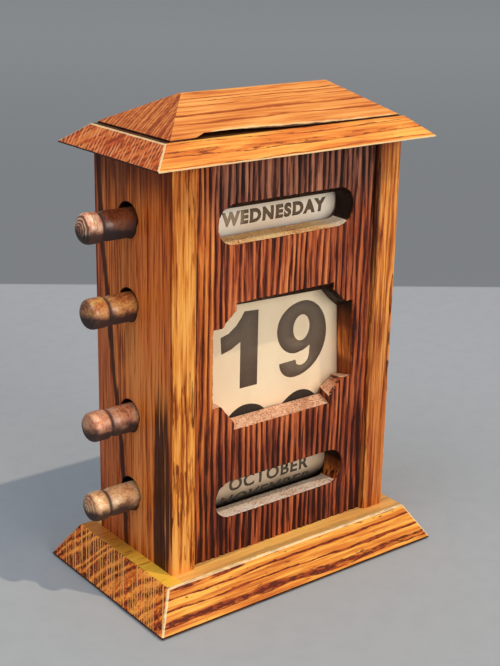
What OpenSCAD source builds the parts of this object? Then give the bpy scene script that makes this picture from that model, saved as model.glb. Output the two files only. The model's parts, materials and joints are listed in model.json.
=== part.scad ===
// Perpetual desk calendar: an oak case with a hipped roof, three windows and four hand-turned rollers.
// Day and month names sit on drums that turn without end; the date is a long band wound between two rollers.
// Origin: centre of the underside. +X to the right, +Y to the back, +Z up. Millimetres.

/* [Case] */
// Width over the two side boards
case_w = 120; // [112:1:160]
// Room between the rollers and the back panel
back_room = 3.2; // [1:0.1:20]
// Height of the month roller's hole above the base board
foot_h = 25.9; // [20:0.1:40]
// Distance from the day roller's hole up to the eave board
top_h = 27.7; // [20:0.1:45]
// Thickness of each side board
side_t = 12.5; // [11:0.5:15]
// Radius on the inner arris of each front edge
inner_round = 2.6; // [1:0.1:3]
// Radius on the outer arris of each front edge
outer_round = 1.1; // [0.5:0.1:2]

/* [Front panel] */
// Thickness of the front panel
panel_t = 12; // [8:0.5:13]
// Distance from the side boards' front edges back to the panel's face
panel_recess = 2.6; // [1:0.1:4]

/* [Name windows] */
// Width of the day and month windows over their round ends
slot_w = 72; // [50:1:78]
// Height of the day and month windows
slot_h = 17; // [12:0.5:20]

/* [Date window] */
// Width of the date window
date_w = 76; // [60:1:82]
// Height of the date window
date_h = 56.4; // [48:0.2:58]
// How far the date window's centre sits below the middle of the two date rollers
date_drop = 0.7; // [0:0.1:4]
// Level shoulder at the outer end of each canted corner
corner_shoulder = 4.4; // [2:0.2:6]
// Upright step at the inner end of each canted corner
corner_step = 3.2; // [1:0.2:5]
// Width of the whole canted corner
corner_w = 11.6; // [8:0.2:16]
// Height of the whole canted corner
corner_h = 9.8; // [7:0.2:14]

/* [Base] */
// Thickness of the base board
base_t = 16.2; // [12:0.2:22]
// Overhang of the base board at its lower edge
base_over = 16.5; // [12:0.5:24]
// Width of the bevel round the base board, seen from above
base_bevel = 9.5; // [5:0.5:11]
// Upright lip under that bevel
base_lip = 0.8; // [0.4:0.2:4]
// Thickness of the felt under the base board
felt_t = 0.8; // [0.5:0.1:2]
// Distance of the felt's edge inside the base board's edge
felt_inset = 1.2; // [0.6:0.2:4]

/* [Roof] */
// Thickness of the eave board
eave_t = 8.4; // [6:0.2:12]
// Overhang of the eave board past each side board
eave_over_x = 12; // [11:0.5:18]
// Overhang of the eave board past the front and back edges
eave_over_y = 8.5; // [7:0.5:14]
// Width of the bevel round the eave board, seen from above
eave_bevel = 9.9; // [5:0.1:10.5]
// Upright lip under that bevel
eave_lip = 0.6; // [0.4:0.2:3]
// Flat strip of eave board left bare at each end of the roof block
block_margin_x = 2.7; // [1:0.1:5]
// Flat strip of eave board left bare at the front and back of the roof block
block_margin_y = 1.1; // [0.5:0.1:4]
// Height of the roof block
block_h = 13.7; // [9:0.1:20]
// Upright lip round the foot of the roof block
block_lip = 0.8; // [0.4:0.1:3]
// Length of the ridge
ridge_len = 76.2; // [40:0.2:90]
// Width of the narrow flat along the ridge
ridge_flat = 1.2; // [0.6:0.2:4]
// Height of the open joint under the block's front edge, where the block has warped
joint_h = 1.9; // [0.4:0.1:2.5]
// Depth of that joint, from the block's front edge inwards
joint_deep = 14; // [6:1:20]

/* [Back] */
// Thickness of the back panel, and depth of the rebates that hold it
back_t = 5; // [4:0.5:6]
// Width of each rebate in the side boards
rebate_w = 6; // [5:0.5:7]

/* [Rollers] */
// Diameter of the day and month drums over their paper
drum_d = 33; // [28:0.5:40]
// Diameter of the bare date rollers that the band is wound on
core_d = 29.2; // [20:0.2:34]
// Distance between the holes of the two date rollers
date_spread = 49.2; // [42:0.1:56]
// Gap between the day drum and the upper date roller's coil
day_gap = 2.7; // [1.5:0.1:12]
// Gap between the month drum and the lower date roller's coil
month_gap = 2.6; // [1.5:0.1:12]
// Free play between each roller's end and its side board
end_play = 0.8; // [0.3:0.1:1]
// Bevel on the ends of the rollers
roller_bevel = 0.8; // [0.4:0.1:1.5]

/* [Paper] */
// Thickness of the paper and linen
sheet_t = 0.2; // [0.15:0.05:0.3]
// Bare wood left at each end of a date roller beside the band
band_margin = 4.7; // [1:0.1:6]
// Bare wood left at each end of a drum beside its paper
paper_margin = 2.7; // [1:0.1:5]
// Distance from one date to the next along the band
date_pitch = 43; // [36:0.5:44]
// Date that shows
shown_date = 19; // [1:1:31]

/* [Knobs] */
// Diameter of the holes for the knobs in the left side board
hole_d = 15.5; // [14:0.1:17]
// Diameter of the dowel behind each knob's groove
shank_d = 12.4; // [11:0.1:12.8]
// Largest diameter of each knob's barrel
head_d = 12.9; // [12.5:0.1:14]
// Diameter at the bottom of the groove
groove_d = 10.4; // [8:0.1:10.8]
// Length of the slope from the dowel down to the groove
flare_len = 2.8; // [1.5:0.1:4]
// Reach of each knob past the side board, from the top knob to the bottom one
knob_reach = [23.1, 21.9, 22.2, 22.4];
// Distance of each groove from the side board, from the top knob to the bottom one
groove_at = [14.5, 12.2, 12.0, 13.6];
// How far each dowel hangs below the middle of its hole, from the top knob to the bottom one
shank_drop = [0.7, 0.1, 0.2, 0.8];
// Radius on the edge of each knob's end
end_round = 2.4; // [1:0.1:3]
// Height of the shallow dome on each knob's end
end_dome = 0.9; // [0.4:0.1:1.5]
// Depth to which each dowel is glued into its roller
shank_in = 15; // [10:1:20]

/* [Pivots] */
// Diameter of the pivot dowels on the right
pin_d = 6; // [5:0.5:8]
// Depth of the blind pivot holes in the right side board
pivot_depth = 8; // [6:0.5:9]
// Depth to which each pivot dowel is glued into its roller
pin_in = 9; // [6:1:14]

/* [Screws] */
// Diameter of the screws through the base and eave boards
screw_d = 4; // [3:0.5:5]
// Diameter of their countersunk heads
screw_head_d = 8; // [7:0.5:9]
// Length of the base screws
base_screw_len = 32; // [26:1:45]
// Length of the eave screws
eave_screw_len = 26; // [20:1:40]
// Distance of those screws from the front and back edges of the side boards
screw_inset = 12; // [9:0.5:16]
// Diameter of the screws that hold the back panel
back_screw_d = 2.4; // [2:0.2:3]
// Diameter of their round heads
back_head_d = 4.6; // [3.6:0.2:5]
// Length of the back screws
back_screw_len = 14; // [10:1:20]
// Distance of the end screws from the top and bottom of the back panel
back_screw_inset = 20; // [18:1:35]
// Screws down each side of the back panel
back_screws_per_side = 3; // [2:1:4]

/* [Fits] */
// Gap between a moving piece and a fixed one
run_gap = 0.3; // [0.2:0.05:0.4]
// Radial clearance of the pivots in their holes
pivot_fit = 0.08; // [0.04:0.01:0.1]
// Radial room for glue round dowels and screws, and under paper
glue_gap = 0.1; // [0.05:0.01:0.15]

/* [Hidden] */
$fn = 64;
eps = 0.01;
inner_w = case_w - 2 * side_t;                // room between the side boards
roller_len = inner_w - 2 * end_play;
band_w = roller_len - 2 * band_margin;
paper_w = roller_len - 2 * paper_margin;
drum_r = drum_d / 2;
dates = 31;

// Radius of a date roller with this many dates' length of band wound on it
function wound_r(n) = sqrt(pow(core_d / 2 + glue_gap, 2) + n * date_pitch * sheet_t / PI) + sheet_t;
upper_r = wound_r(shown_date - 1);
lower_r = wound_r(dates - shown_date);
coil_r = max(upper_r, lower_r);
band_r = coil_r + run_gap;                    // inside of the band where it passes over a coil
reach_r = max(drum_r, band_r + sheet_t);      // the furthest that any roller reaches to the front

// Heights above the base board, stacked up from the month roller
month_z = foot_h;
lower_z = month_z + drum_r + month_gap + reach_r;
upper_z = lower_z + date_spread;
day_z = upper_z + reach_r + day_gap + drum_r;
date_z = (lower_z + upper_z) / 2 - date_drop; // centre of the date window
case_h = day_z + top_h;                       // height of the side boards and the panels
case_d = panel_recess + panel_t + run_gap + 2 * reach_r + back_room + back_t; // depth of the side boards

base_z = felt_t;                              // underside of the base board
floor_z = base_z + base_t;                    // top of the base board, foot of the case
eave_z = floor_z + case_h;                    // underside of the eave board
block_z = eave_z + eave_t;                    // top of the eave board
front_y = -case_d / 2;                        // front edges of the side boards
panel_y = front_y + panel_recess;             // face of the front panel
roller_y = panel_y + panel_t + run_gap + reach_r;

// The four rollers, from the top one down
DAY = 0;
UPPER = 1;
LOWER = 2;
MONTH = 3;
hole_z = [for (h = [day_z, upper_z, lower_z, month_z]) floor_z + h];
max_drop = (hole_d - shank_d) / 2 - run_gap;  // a dowel hangs no lower than just clear of its hole
drop = [for (d = shank_drop) min(d, max_drop)];
axis_z = [for (i = [DAY:MONTH]) hole_z[i] - drop[i]];

base_w = case_w + 2 * base_over;
base_d = case_d + 2 * base_over;
eave_w = case_w + 2 * eave_over_x;
eave_d = case_d + 2 * eave_over_y;
block_w = eave_w - 2 * eave_bevel - 2 * block_margin_x;
block_d = eave_d - 2 * eave_bevel - 2 * block_margin_y;
// Open joint seen from the front: distance from the block's left end, and share of the joint's height
joint_line = [[5.5, 0], [17.5, 1], [31.5, 1], [55.5, 0.5], [block_w - 2, 0]];
side_mid_x = case_w / 2 - side_t / 2;
screw_y = case_d / 2 - screw_inset;
back_w = inner_w + 2 * rebate_w;
back_screw_x = inner_w / 2 + rebate_w / 2;
head_h = screw_head_d / 2 - screw_d / 2;      // 90 degree countersink
back_head_h = 0.36 * back_head_d;
slot_cut = 0.9;                               // width of the screwdriver slots
slot_deep = 0.8;
cove_angle = 70;                              // how far round the hollow under each knob's barrel curves

wood_gold = [0.80, 0.49, 0.19];
wood_brown = [0.52, 0.27, 0.13];
wood_dark = [0.42, 0.17, 0.08];
wood_pale = [0.76, 0.62, 0.44];

// ---- helpers ------------------------------------------------------------------------------------

// Waste to cut from a square corner at the origin, in the +X +Y quadrant, to round it
module corner_waste(r) {
    difference() {
        translate([-eps, -eps]) square(r + eps);
        translate([r, r]) circle(r);
    }
}

// Board whose edge profile is the same all round: an upright lip, then a bevel up to the top face
module bevelled_board(w, d, h, lip, bevel) {
    intersection() {
        rotate([90, 0, 0]) linear_extrude(d, center = true) bevelled_edge(w, h, lip, bevel);
        rotate([90, 0, 90]) linear_extrude(w, center = true) bevelled_edge(d, h, lip, bevel);
    }
}

module bevelled_edge(w, h, lip, bevel) {
    polygon([[-w / 2, 0], [w / 2, 0], [w / 2, lip], [w / 2 - bevel, h], [bevel - w / 2, h], [-w / 2, lip]]);
}

// Lays a child that stands on z = 0 along a roller's axis, starting at x and pointing right
module along_roller(i, x) {
    translate([x, roller_y, axis_z[i]]) rotate([0, 90, 0]) children();
}

// Countersunk wood screw with its head's face at the origin and its point down
module wood_screw(len, r, head_r, head_height) {
    difference() {
        rotate_extrude() polygon([[0, 0], [head_r, 0], [r, -head_height], [r, 2 * r - len], [0, -len]]);
        translate([-head_r, -slot_cut / 2, -slot_deep]) cube([2 * head_r, slot_cut, slot_deep + eps]);
    }
}

// Hole for that screw, with room for glue round its shank
module wood_screw_hole(len, r, head_r, head_height) {
    translate([0, 0, -len - glue_gap]) cylinder(r = r + glue_gap, h = len + glue_gap + eps);
    translate([0, 0, -head_height - glue_gap])
        cylinder(r1 = r, r2 = head_r + glue_gap, h = head_height + glue_gap);
    cylinder(r = head_r + glue_gap, h = eps);
}

module at_case_screws(z) {
    for (x = [-side_mid_x, side_mid_x], y = [-screw_y, screw_y]) translate([x, y, z]) children();
}

module at_base_screws() {
    at_case_screws(base_z) mirror([0, 0, 1]) children();
}

module at_eave_screws() {
    at_case_screws(block_z) children();
}

// Places a child on the back panel's outer face, its +Z pointing out to the back
module at_back_screws() {
    gap_z = (case_h - 2 * back_screw_inset) / (back_screws_per_side - 1);
    for (x = [-back_screw_x, back_screw_x], i = [0:back_screws_per_side - 1])
        translate([x, case_d / 2, floor_z + back_screw_inset + i * gap_z]) rotate([-90, 0, 0]) children();
}

module base_screw_hole() {
    wood_screw_hole(base_screw_len, screw_d / 2, screw_head_d / 2, head_h);
}

module eave_screw_hole() {
    wood_screw_hole(eave_screw_len, screw_d / 2, screw_head_d / 2, head_h);
}

module back_screw_hole() {
    translate([0, 0, -back_screw_len - glue_gap])
        cylinder(d = back_screw_d + 2 * glue_gap, h = back_screw_len + 2 * glue_gap);
}

// ---- case ---------------------------------------------------------------------------------------

module base_felt() {
    color("black") translate([0, 0, felt_t / 2])
        cube([base_w - 2 * felt_inset, base_d - 2 * felt_inset, felt_t], center = true);
}

module base_board() {
    color(wood_gold) difference() {
        translate([0, 0, base_z]) bevelled_board(base_w, base_d, base_t, base_lip, base_bevel);
        at_base_screws() base_screw_hole();
    }
}

// Right side board without its holes: rounded front arrises, and a rebate for the back panel
module side_blank() {
    inner_x = inner_w / 2;
    outer_x = case_w / 2;
    translate([0, 0, floor_z]) linear_extrude(case_h) difference() {
        translate([inner_x, front_y]) square([side_t, case_d]);
        translate([inner_x, front_y]) corner_waste(inner_round);
        translate([outer_x, front_y]) mirror([1, 0]) corner_waste(outer_round);
        translate([inner_x - eps, case_d / 2 - back_t]) square([rebate_w + eps, back_t + eps]);
    }
}

module side_left() {
    color(wood_brown) difference() {
        mirror([1, 0, 0]) side_blank();
        for (z = hole_z)
            translate([-case_w / 2 - eps, roller_y, z]) rotate([0, 90, 0])
                cylinder(d = hole_d, h = side_t + 2 * eps);
        at_base_screws() base_screw_hole();
        at_eave_screws() eave_screw_hole();
        at_back_screws() back_screw_hole();
    }
}

module side_right() {
    color(wood_gold) difference() {
        side_blank();
        for (i = [DAY:MONTH])
            along_roller(i, inner_w / 2 - eps) cylinder(r = pin_d / 2 + pivot_fit, h = pivot_depth + eps);
        at_base_screws() base_screw_hole();
        at_eave_screws() eave_screw_hole();
        at_back_screws() back_screw_hole();
    }
}

// Window with half-round ends, centred on the origin
module round_ended_window() {
    r = slot_h / 2;
    for (s = [-1, 1]) translate([s * (slot_w / 2 - r), 0]) circle(r);
    square([slot_w - 2 * r, slot_h], center = true);
}

// Date window: a rectangle whose corners are canted between a shoulder and a step
module canted_window() {
    w = date_w / 2;
    h = date_h / 2;
    corner = [[w, corner_h - h], [w - corner_shoulder, corner_h - h],
              [w - corner_w, corner_step - h], [w - corner_w, -h]];
    half = concat(corner, [for (i = [3:-1:0]) [-corner[i].x, corner[i].y]]);
    polygon(concat(half, [for (i = [7:-1:0]) [half[i].x, -half[i].y]]));
}

module front_panel() {
    color(wood_dark) translate([0, panel_y + panel_t, floor_z]) rotate([90, 0, 0])
        linear_extrude(panel_t) difference() {
            translate([-inner_w / 2, 0]) square([inner_w, case_h]);
            translate([0, day_z]) round_ended_window();
            translate([0, date_z]) canted_window();
            translate([0, month_z]) round_ended_window();
        }
}

module back_panel() {
    color(wood_brown) difference() {
        translate([-back_w / 2, case_d / 2 - back_t, floor_z]) cube([back_w, back_t, case_h]);
        at_back_screws() back_screw_hole();
    }
}

// ---- roof ---------------------------------------------------------------------------------------

module eave_board() {
    color(wood_gold) difference() {
        translate([0, 0, eave_z]) bevelled_board(eave_w, eave_d, eave_t, eave_lip, eave_bevel);
        at_eave_screws() eave_screw_hole();
    }
}

// Hipped block: long slopes to the front and back, short ones to the ends, with an open joint in front
module roof_block() {
    color(wood_gold) translate([0, 0, block_z]) difference() {
        intersection() {
            rotate([90, 0, 0]) linear_extrude(block_d, center = true)
                bevelled_edge(block_w, block_h, block_lip, (block_w - ridge_len) / 2);
            rotate([90, 0, 90]) linear_extrude(block_w, center = true)
                bevelled_edge(block_d, block_h, block_lip, (block_d - ridge_flat) / 2);
        }
        translate([-block_w / 2, joint_deep - block_d / 2, 0]) rotate([90, 0, 0])
            linear_extrude(joint_deep + 1) polygon([for (p = joint_line) [p.x, p.y * joint_h]]);
    }
}

// ---- screws -------------------------------------------------------------------------------------

module base_screws() {
    color("silver") at_base_screws() wood_screw(base_screw_len, screw_d / 2, screw_head_d / 2, head_h);
}

module eave_screws() {
    color("silver") at_eave_screws() wood_screw(eave_screw_len, screw_d / 2, screw_head_d / 2, head_h);
}

// Round-headed brass screws in the back panel
module back_screws() {
    cap_r = (pow(back_head_d / 2, 2) + pow(back_head_h, 2)) / (2 * back_head_h);
    color("gold") at_back_screws() difference() {
        union() {
            translate([0, 0, -back_screw_len]) rotate_extrude()
                polygon([[0, 0], [back_screw_d / 2, back_screw_d],
                         [back_screw_d / 2, back_screw_len + eps], [0, back_screw_len + eps]]);
            intersection() {
                translate([0, 0, back_head_h - cap_r]) sphere(cap_r);
                cylinder(d = back_head_d + 1, h = back_head_h + 1);
            }
        }
        translate([-back_head_d / 2, -slot_cut / 2, back_head_h - slot_deep])
            cube([back_head_d, slot_cut, slot_deep + eps]);
    }
}

// ---- rollers ------------------------------------------------------------------------------------

// Turned wooden roller: bored at the left for the knob's dowel and at the right for the pivot dowel
module roller(i, d) {
    r = d / 2;
    b = roller_bevel;
    along_roller(i, -roller_len / 2) difference() {
        rotate_extrude() polygon([[0, 0], [r - b, 0], [r, b], [r, roller_len - b], [r - b, roller_len],
                                  [0, roller_len]]);
        translate([0, 0, -eps]) cylinder(r = shank_d / 2 + glue_gap, h = shank_in + glue_gap + eps);
        translate([0, 0, roller_len - pin_in - glue_gap])
            cylinder(r = pin_d / 2 + glue_gap, h = pin_in + glue_gap + eps);
    }
}

// Paper pasted once round a drum
module drum_paper(i) {
    color("wheat") along_roller(i, -paper_w / 2) difference() {
        cylinder(r = drum_r, h = paper_w);
        translate([0, 0, -eps]) cylinder(r = drum_r - sheet_t, h = paper_w + 2 * eps);
    }
}

module name_drum(i) {
    color(wood_pale) roller(i, drum_d - 2 * sheet_t - 2 * glue_gap);
}

// Points of a spiral that falls by one thickness of paper in one turn from radius r
function spiral(r, steps = 72) = [for (k = [0:steps]) (r - sheet_t * k / steps) * [cos(360 * k / steps),
                                                                                  sin(360 * k / steps)]];

// Band wound on a date roller: the outer turn is a true spiral that ends in a step at the back
module date_coil(i, r) {
    color("wheat") along_roller(i, -band_w / 2) linear_extrude(band_w) difference() {
        rotate(90) polygon(spiral(r));
        circle(core_d / 2 + glue_gap);
    }
}

// Quarter of the band where it passes over a coil: turn is 0 for the top quarter, 90 for the bottom one
module band_quarter(turn) {
    intersection() {
        difference() {
            circle(band_r + sheet_t);
            circle(band_r);
        }
        rotate(90 + turn) square(2 * band_r);
    }
}

// Length of band between the two date rollers, with the quarter turns that lead on to them
module date_band() {
    color("wheat") translate([-band_w / 2, roller_y, 0]) rotate([90, 0, 90]) linear_extrude(band_w) {
        translate([0, axis_z[UPPER]]) band_quarter(0);
        translate([0, axis_z[LOWER]]) band_quarter(90);
        translate([-band_r - sheet_t, axis_z[LOWER] - eps])
            square([sheet_t, axis_z[UPPER] - axis_z[LOWER] + 2 * eps]);
    }
}

// ---- knobs and pivots ---------------------------------------------------------------------------

// Points on an arc about [x, y], from angle a to angle b
function arc(x, y, r, a, b, steps = 7) = [for (k = [0:steps]) let (t = a + (b - a) * k / steps)
                                          [x + r * cos(t), y + r * sin(t)]];

// Knob and dowel turned in one piece. In this profile y runs out of the case and is 0 at its face.
module knob_profile(reach, groove) {
    inside = side_t + end_play + shank_in;
    head_r = head_d / 2;
    edge_y = reach - end_dome - end_round;
    dome_w = head_r - end_round;
    dome_r = (pow(dome_w, 2) + pow(end_dome, 2)) / (2 * end_dome);
    dome_a = asin(dome_w / dome_r);
    shoulder_r = (head_d - groove_d) / 2;
    polygon(concat(
        [[0, -inside], [shank_d / 2 - 0.5, -inside], [shank_d / 2, 0.5 - inside],
         [shank_d / 2, groove - flare_len], [groove_d / 2, groove]],
        arc(head_r - shoulder_r, groove + shoulder_r, shoulder_r, -cove_angle, 0),
        arc(head_r - end_round, edge_y, end_round, 0, 90 - dome_a),
        arc(0, reach - dome_r, dome_r, 90 - dome_a, 90)));
}

module knob(i) {
    translate([-case_w / 2, roller_y, axis_z[i]]) rotate([0, -90, 0])
        rotate_extrude() knob_profile(knob_reach[i], groove_at[i]);
}

// Dowel glued into a roller's right end, with its free end in a blind hole in the right side board
module pivot(i) {
    len = pin_in + end_play + pivot_depth - run_gap;
    b = 0.6;
    color(wood_pale) along_roller(i, roller_len / 2 - pin_in)
        rotate_extrude() polygon([[0, 0], [pin_d / 2 - b, 0], [pin_d / 2, b], [pin_d / 2, len - b],
                                  [pin_d / 2 - b, len], [0, len]]);
}

module day_knob() { color(wood_brown) knob(DAY); }
module date_knob_upper() { color(wood_brown) knob(UPPER); }
module date_knob_lower() { color(wood_brown) knob(LOWER); }
module month_knob() { color(wood_brown) knob(MONTH); }

base_felt();
base_board();
side_left();
side_right();
front_panel();
back_panel();
eave_board();
roof_block();
base_screws();
eave_screws();
back_screws();
name_drum(DAY);  // day_drum
drum_paper(DAY);  // day_paper
day_knob();
pivot(DAY);  // day_pivot
color(wood_pale) roller(UPPER, core_d);  // date_roller_upper
date_coil(UPPER, upper_r);  // date_coil_upper
date_knob_upper();
pivot(UPPER);  // date_pivot_upper
color(wood_pale) roller(LOWER, core_d);  // date_roller_lower
date_coil(LOWER, lower_r);  // date_coil_lower
date_knob_lower();
pivot(LOWER);  // date_pivot_lower
date_band();
name_drum(MONTH);  // month_drum
drum_paper(MONTH);  // month_paper
month_knob();
pivot(MONTH);  // month_pivot
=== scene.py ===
# %% [markdown]
# # A roller calendar in oak
#
# This notebook dresses a perpetual desk calendar: an oak case with a hipped roof, three windows in a
# striped front panel and four turned knobs on the left. The engineering model already fixes every size.
# What is left is the finish: sanded edges, figured oak, printed paper, polish and light.

# %% Load the frame
import json
import math

import bmesh
import bpy
from mathutils import Matrix, Vector, noise


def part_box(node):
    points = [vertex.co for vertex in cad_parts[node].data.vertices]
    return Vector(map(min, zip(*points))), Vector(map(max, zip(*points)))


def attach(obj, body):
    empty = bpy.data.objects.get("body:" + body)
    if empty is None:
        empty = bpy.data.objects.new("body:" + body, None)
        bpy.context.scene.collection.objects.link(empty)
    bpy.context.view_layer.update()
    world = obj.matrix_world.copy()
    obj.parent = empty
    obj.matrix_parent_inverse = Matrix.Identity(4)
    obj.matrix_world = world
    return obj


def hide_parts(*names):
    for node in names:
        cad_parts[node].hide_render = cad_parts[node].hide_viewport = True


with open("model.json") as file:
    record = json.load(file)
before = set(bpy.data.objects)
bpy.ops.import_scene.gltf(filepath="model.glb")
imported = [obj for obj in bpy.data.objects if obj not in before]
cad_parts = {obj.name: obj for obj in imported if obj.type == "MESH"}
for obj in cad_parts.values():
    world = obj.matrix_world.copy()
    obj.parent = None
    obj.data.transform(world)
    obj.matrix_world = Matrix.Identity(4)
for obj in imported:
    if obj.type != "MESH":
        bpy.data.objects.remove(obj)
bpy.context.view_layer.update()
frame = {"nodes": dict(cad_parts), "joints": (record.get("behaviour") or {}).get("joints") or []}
MM = 0.001

# %% [markdown]
# ## Sizes from the frame
#
# Nothing is measured twice. Each board's box comes from the frame, and the rollers' axes come from its
# joints. The printed names and figures have sizes of their own, which are given where they are made.

# %% Boxes and axes
PANEL_LOW, PANEL_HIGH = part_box("front_panel")
SIDE_LOW, SIDE_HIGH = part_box("side_left")
BAND_LOW, BAND_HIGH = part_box("date_band")
PAPER_LOW, PAPER_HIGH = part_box("day_paper")
ROLLER_AXIS = {joint["child"]: Vector(joint["pos_m"]) for joint in frame["joints"]}
DRUM_RADIUS = (PAPER_HIGH.z - PAPER_LOW.z) / 2
BAND_RADIUS = ROLLER_AXIS["date_upper"].y - BAND_LOW.y
SHEET = 0.2 * MM
print(f"drums {2000 * DRUM_RADIUS:.1f} mm, band turns {2000 * BAND_RADIUS:.1f} mm across")

# %% [markdown]
# ## Short ways to write a node tree
#
# Materials and geometry trees are both made of nodes and links. Only one tree is built at a time, so it
# lies on a workbench and the helpers below add to it. `make_node` makes a node, sets its options and
# fills its sockets. `add` does the same and hands back a wire from the node's output. Wires can be
# added, multiplied and compared like numbers: each sign makes the math node of that name.

# %% Nodes and wires
bench = {"tree": None}


class Wire:
    """The output of a node. A sign between wires, or between a wire and a number, makes a math node."""

    def __init__(self, socket):
        self.socket = socket

    def __add__(self, other):
        return math_node("ADD", self, other)

    def __sub__(self, other):
        return math_node("SUBTRACT", self, other)

    def __rsub__(self, other):
        return math_node("SUBTRACT", other, self)

    def __mul__(self, other):
        return math_node("MULTIPLY", self, other)

    def __truediv__(self, other):
        return math_node("DIVIDE", self, other)

    def __gt__(self, other):
        return math_node("GREATER_THAN", self, other)

    def __lt__(self, other):
        return math_node("LESS_THAN", self, other)

    def __abs__(self):
        return math_node("ABSOLUTE", self)

    __radd__ = __add__
    __rmul__ = __mul__


def fill(socket, value):
    """Links a wire, or each of a list of wires, and types anything else in."""
    wires = value if isinstance(value, list) else [value]
    if isinstance(wires[0], Wire):
        for wire in wires:
            bench["tree"].links.new(wire.socket, socket)
    else:
        socket.default_value = value


def make_node(kind, sockets=None, **options):
    made = bench["tree"].nodes.new(kind)
    for option, value in options.items():
        setattr(made, option, value)
    for socket, value in (sockets or {}).items():
        fill(made.inputs[socket], value)
    return made


def add(kind, sockets=None, out=0, **options):
    return Wire(make_node(kind, sockets, **options).outputs[out])


def wires_of(made):
    return {socket.name: Wire(socket) for socket in made.outputs}


def new_group(name, kind, inputs, outputs):
    """Puts a new node group on the bench. The sockets are given as {kind: names}."""
    tree = bpy.data.node_groups.new(name, kind)
    for way, sockets in (("INPUT", inputs), ("OUTPUT", outputs)):
        for socket_kind, names in sockets.items():
            for socket_name in names.split(", "):
                tree.interface.new_socket(socket_name, in_out=way, socket_type="NodeSocket" + socket_kind)
    bench["tree"] = tree
    return tree, wires_of(make_node("NodeGroupInput"))


# %% Numbers and places
def math_node(operation, a, b=0.0, clamp=False):
    return add("ShaderNodeMath", {0: a, 1: b}, operation=operation, use_clamp=clamp)


def vector_math(operation, a, b=(0.0, 0.0, 0.0)):
    """Arithmetic with vectors. A length, a distance or a dot product comes out as a number."""
    plain = operation in ("LENGTH", "DISTANCE", "DOT_PRODUCT")
    second = "Scale" if operation == "SCALE" else 1
    return add("ShaderNodeVectorMath", {0: a, second: b}, out="Value" if plain else "Vector",
               operation=operation)


def split(vector):
    return [Wire(socket) for socket in make_node("ShaderNodeSeparateXYZ", {0: vector}).outputs]


def vector(x=0.0, y=0.0, z=0.0):
    return add("ShaderNodeCombineXYZ", {0: x, 1: y, 2: z})


def smooth_step(value, start, end, low=0.0, high=1.0):
    return add("ShaderNodeMapRange", {"Value": value, "From Min": start, "From Max": end, "To Min": low,
                                      "To Max": high}, out="Result", interpolation_type="SMOOTHSTEP")


def stretched_noise(place, cycles, detail=2.0, roughness=0.5):
    """Noise whose cycles per millimetre are given for each axis."""
    stretched = vector_math("MULTIPLY", place, cycles)
    return add("ShaderNodeTexNoise", {"Vector": stretched, "Scale": 1.0, "Detail": detail,
                                      "Roughness": roughness}, out="Fac")


def drawn_curve(value, low, high, path):
    """A line drawn from given points: `path` gives its height at shares of the way from low to high."""
    share = add("ShaderNodeMapRange", {"Value": value, "From Min": low, "From Max": high}, out="Result")
    curve = make_node("ShaderNodeFloatCurve", {"Value": share})
    points = curve.mapping.curves[0].points
    while len(points) < len(path):
        points.new(0.5, 0.5)
    for point, spot in zip(points, path):
        point.location = spot
    curve.mapping.update()
    return Wire(curve.outputs[0])


# %% Colours and surfaces
def linear(red, green, blue):
    """A colour from the 0 to 255 scale of a colour picker, as the linear value that a shader takes."""
    def one(v):
        v /= 255
        return v / 12.92 if v <= 0.04045 else ((v + 0.055) / 1.055) ** 2.4
    return (one(red), one(green), one(blue), 1.0)


def colour_of(value):
    """Three numbers are read off a colour picker. A wire, or a colour that is linear already, stays."""
    return linear(*value) if isinstance(value, tuple) and len(value) == 3 else value


def blend(share, under, over, how="MIX"):
    """Lays one colour over another: 0 leaves `under`, 1 gives `over`."""
    return add("ShaderNodeMix", {0: share, 6: colour_of(under), 7: colour_of(over)}, out=2,
               data_type="RGBA", blend_type=how)


def tinted(share, colour, tint):
    """The colour, multiplied by a tint where the share is 1."""
    return blend(share, colour, blend(1.0, colour, (*tint, 1.0), "MULTIPLY"))


def ramp(value, stops):
    made = make_node("ShaderNodeValToRGB", {"Fac": value})
    keys = made.color_ramp.elements
    while len(keys) < len(stops):
        keys.new(0.5)
    for key, (place, colour) in zip(keys, stops):
        key.position = place
        key.color = colour_of(colour)
    return Wire(made.outputs["Color"])


def new_material(name):
    """Puts a new material on the bench, and gives the place of each point, in metres and millimetres."""
    material = bpy.data.materials.new(name)
    material.use_nodes = True
    bench["tree"] = material.node_tree
    place = add("ShaderNodeTexCoord", out="Object")
    return material, place, vector_math("SCALE", place, 1000.0)


def surface(material, colour, rough, bump=None, shine=0.5, **more):
    """Plugs the colour and the roughness in, and a bump given as (height, depth in mm, strength)."""
    sockets = material.node_tree.nodes["Principled BSDF"].inputs
    fill(sockets["Base Color"], colour)
    fill(sockets["Roughness"], rough)
    sockets["Specular IOR Level"].default_value = shine
    for name, value in more.items():
        sockets[name].default_value = value
    if bump:
        height, depth, strength = bump
        fill(sockets["Normal"], add("ShaderNodeBump", {"Height": height, "Distance": depth * MM,
                                                       "Strength": strength}))
    return material


def facing(axis, sign, start=0.8, end=0.95):
    """1 on faces that look along the axis, 0 elsewhere. A sign of 0 counts both ways."""
    part = split(add("ShaderNodeTexCoord", out="Normal"))[axis]
    return smooth_step(part * sign if sign else abs(part), start, end)


print("helpers ready")

# %% [markdown]
# ## The figure of oak
#
# Oak is a stack of yearly rings round a pith. Each ring starts with a band of wide pores, which drink
# up the stain and turn dark, and ends in dense pale wood. The pores run along the grain, so a long face
# shows them as rows of short dark dashes, and end grain shows them as dots, crossed by pale rays that
# run out from the pith. One solid pattern gives all of this: it is worked out in space, and the faces
# cut through it as a saw would. The group below holds it in millimetres, with the grain along Z and
# the pith at the origin. "End Grain" is 1 on faces that are cut across the grain.

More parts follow.
